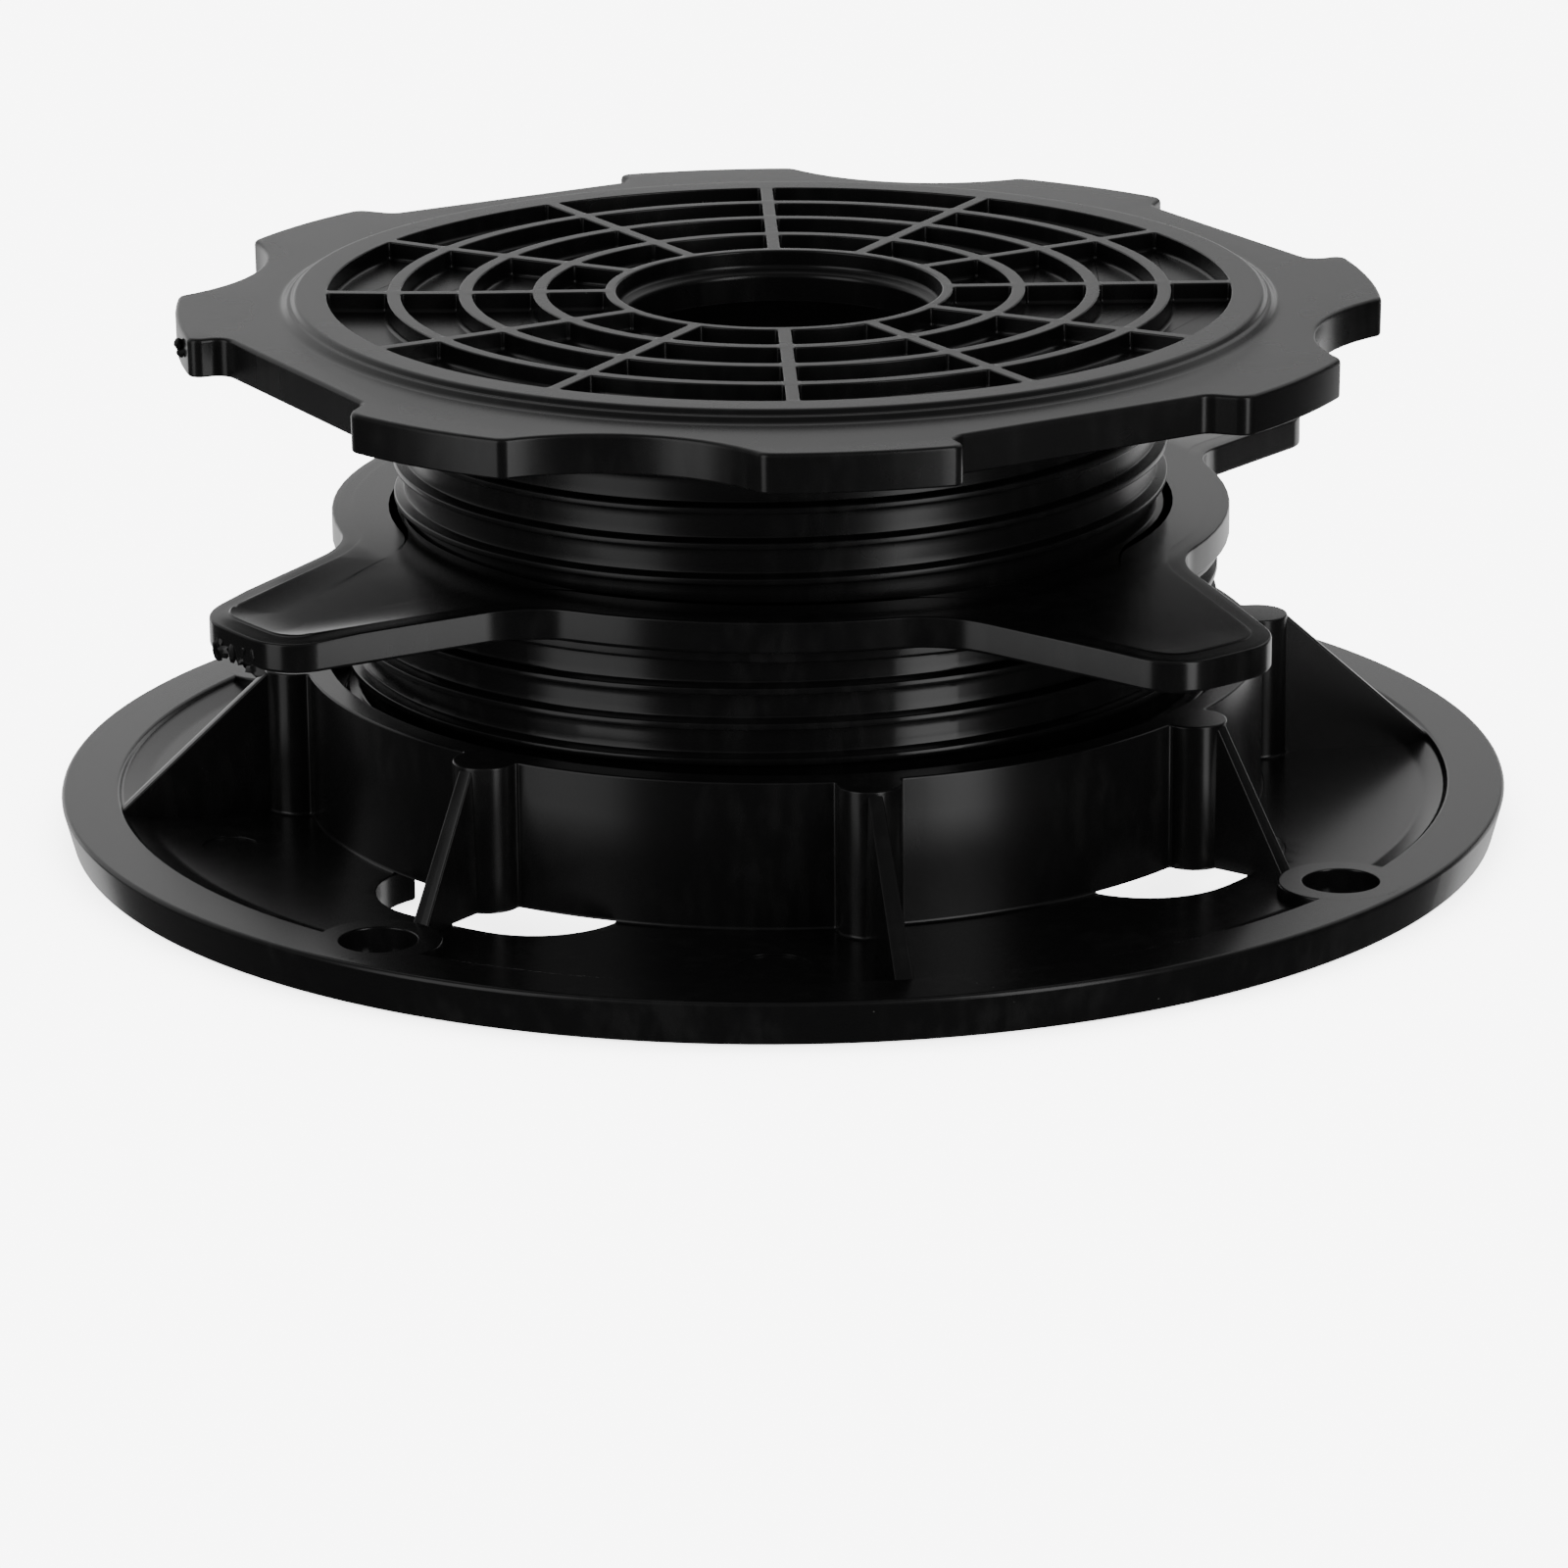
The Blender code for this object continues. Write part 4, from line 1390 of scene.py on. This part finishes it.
@dataclass(frozen=True)
class Studio:
    """A white room that is bright behind the pedestal and dim in front, with a pale floor."""

    floor_radius: float = 6.0
    floor_glow: float = 8.0
    # floor_shade is the share of the glow left in the floor's painted contact shadow; the next
    # field is how far that painted shadow reaches.
    floor_shade: float = 0.4
    contact_shadow_reach: float = 0.03
    bounce: float = 0.6
    bright: float = 0.74
    dim: float = 0.10
    depth_span: tuple[float, float] = (-0.1, 0.75)
    rise_span: tuple[float, float] = (0.08, 0.34)
    tilt: float = 0.3
    skirting: float = 0.12
    aim: float = 0.04
    lights: tuple[Softbox, ...] = (
        Softbox("right_box", -50.0, 12.0, 1.6, (0.55, 2.1), 8.5),
        Softbox("left_box", -141.0, 12.0, 1.8, (1.00, 2.3), 8.0),
        Softbox("back_card", 87.0, -12.0, 0.9, (2.0, 0.72), 4.8),
    )

    def disc(self, name: str, height: float) -> tuple[bpy.types.Object, bpy.types.Node]:
        """Lays a round glowing disc under the pedestal.

        Args:
            name: The disc's name.
            height: The height that it lies at.

        Returns:
            The disc and its shader, whose glow is still to be set.
        """
        skin = Skin()
        angles = even_angles(96)
        start = skin.loop(lift(circle(0.5, angles), height))
        skin.lid(start)
        skin.turned(start, [Vector((self.floor_radius, height))], angles)
        item = skin.done(name)
        material = bpy.data.materials.new(name)
        material.use_nodes = True
        shader = material.node_tree.nodes["Principled BSDF"]
        shader.inputs["Base Color"].default_value = (0.0, 0.0, 0.0, 1.0)
        shader.inputs["Specular IOR Level"].default_value = 0.0
        shader.inputs["Emission Color"].default_value = (1.0, 1.0, 1.0, 1.0)
        item.data.materials.append(material)
        item.visible_glossy = False
        item.visible_shadow = False
        return item, shader

    def bounce_light(self) -> None:
        """The light that the floor throws back up, softly and without a reflection."""
        item, shader = self.disc("floor_bounce", -0.002)
        shader.inputs["Emission Strength"].default_value = self.bounce
        item.visible_camera = False

    def floor(self) -> None:
        """The pale glowing floor, with a painted contact shadow where the base stands on it."""
        item, shader = self.disc("studio_floor", -0.0002)
        item.visible_diffuse = False
        nodes = Nodes(item.data.materials[0].node_tree)
        # Ambient occlusion dims the floor's glow near the base: this is a painted contact shadow,
        # not a cast one.
        corner = nodes.add("ShaderNodeAmbientOcclusion", samples=8)
        corner.inputs["Distance"].default_value = self.contact_shadow_reach
        glow = (self.floor_glow * self.floor_shade, self.floor_glow)
        level = nodes.remap(corner.outputs["AO"], (0.0, 1.0), glow)
        nodes.link(level, shader.inputs["Emission Strength"])

    def room(self) -> None:
        """The room's walls and ceiling, as a sky that is white behind and dim in front."""
        world = bpy.data.worlds.new("white_room")
        world.use_nodes = True
        bpy.context.scene.world = world
        nodes = Nodes(world.node_tree)
        background = world.node_tree.nodes["Background"]
        where = nodes.add("ShaderNodeTexCoord").outputs["Generated"]
        split = nodes.add("ShaderNodeSeparateXYZ")
        nodes.link(where, split.inputs["Vector"])
        across, depth, rise = (split.outputs[name] for name in "XYZ")
        behind = nodes.remap(depth, self.depth_span, (self.dim, self.bright))
        edge = nodes.math("SUBTRACT", rise, nodes.math("MULTIPLY", across, self.tilt))
        above = nodes.remap(edge, self.rise_span, (self.skirting, 1.0))
        level = nodes.math("MULTIPLY", behind, above)
        nodes.link(level, background.inputs["Strength"])
        background.inputs["Color"].default_value = (1.0, 1.0, 1.0, 1.0)

    def build(self) -> None:
        """Sets up the floor, the room and the lights."""
        self.floor()
        self.bounce_light()
        self.room()
        for light in self.lights:
            light.build(UP * self.aim)
            LOG.info("light %s", light.name)


@dataclass(frozen=True)
class Viewpoint:
    """The camera, a long lens that looks a little down on the pedestal."""

    lens: float = 165.285
    sensor: float = 36.0
    clip: tuple[float, float] = (0.01, 50.0)
    place: tuple[float, float, float] = (0.0, -0.9549010396, 0.3044898809)
    turn: tuple[float, float, float] = (1.2655085325, 0.0075941193, -0.0025450697)

    def build(self) -> bpy.types.Object:
        """Places the camera."""
        data = bpy.data.cameras.new("viewpoint")
        data.lens = self.lens
        data.sensor_width = self.sensor
        data.clip_start, data.clip_end = self.clip
        item = bpy.data.objects.new("viewpoint", data)
        item.location = self.place
        item.rotation_euler = self.turn
        bpy.context.scene.collection.objects.link(item)
        bpy.context.scene.camera = item
        return item


def main() -> None:
    """Builds the camera, the studio and the three mouldings."""
    logging.basicConfig(level=logging.INFO, format="%(name)s: %(message)s")
    Viewpoint().build()
    Studio().build()
    for maker, finish in (
        (Base(), SatinPolypropylene("base_satin", roughness=0.25)),
        (AdjustingRing(), SatinPolypropylene("ring_satin", roughness=0.20)),
        (Head(), SatinPolypropylene("head_satin")),
    ):
        piece = maker.build(finish)
        LOG.info("%s: %d faces", piece.name, len(piece.data.polygons))


if __name__ == "__main__":
    main()
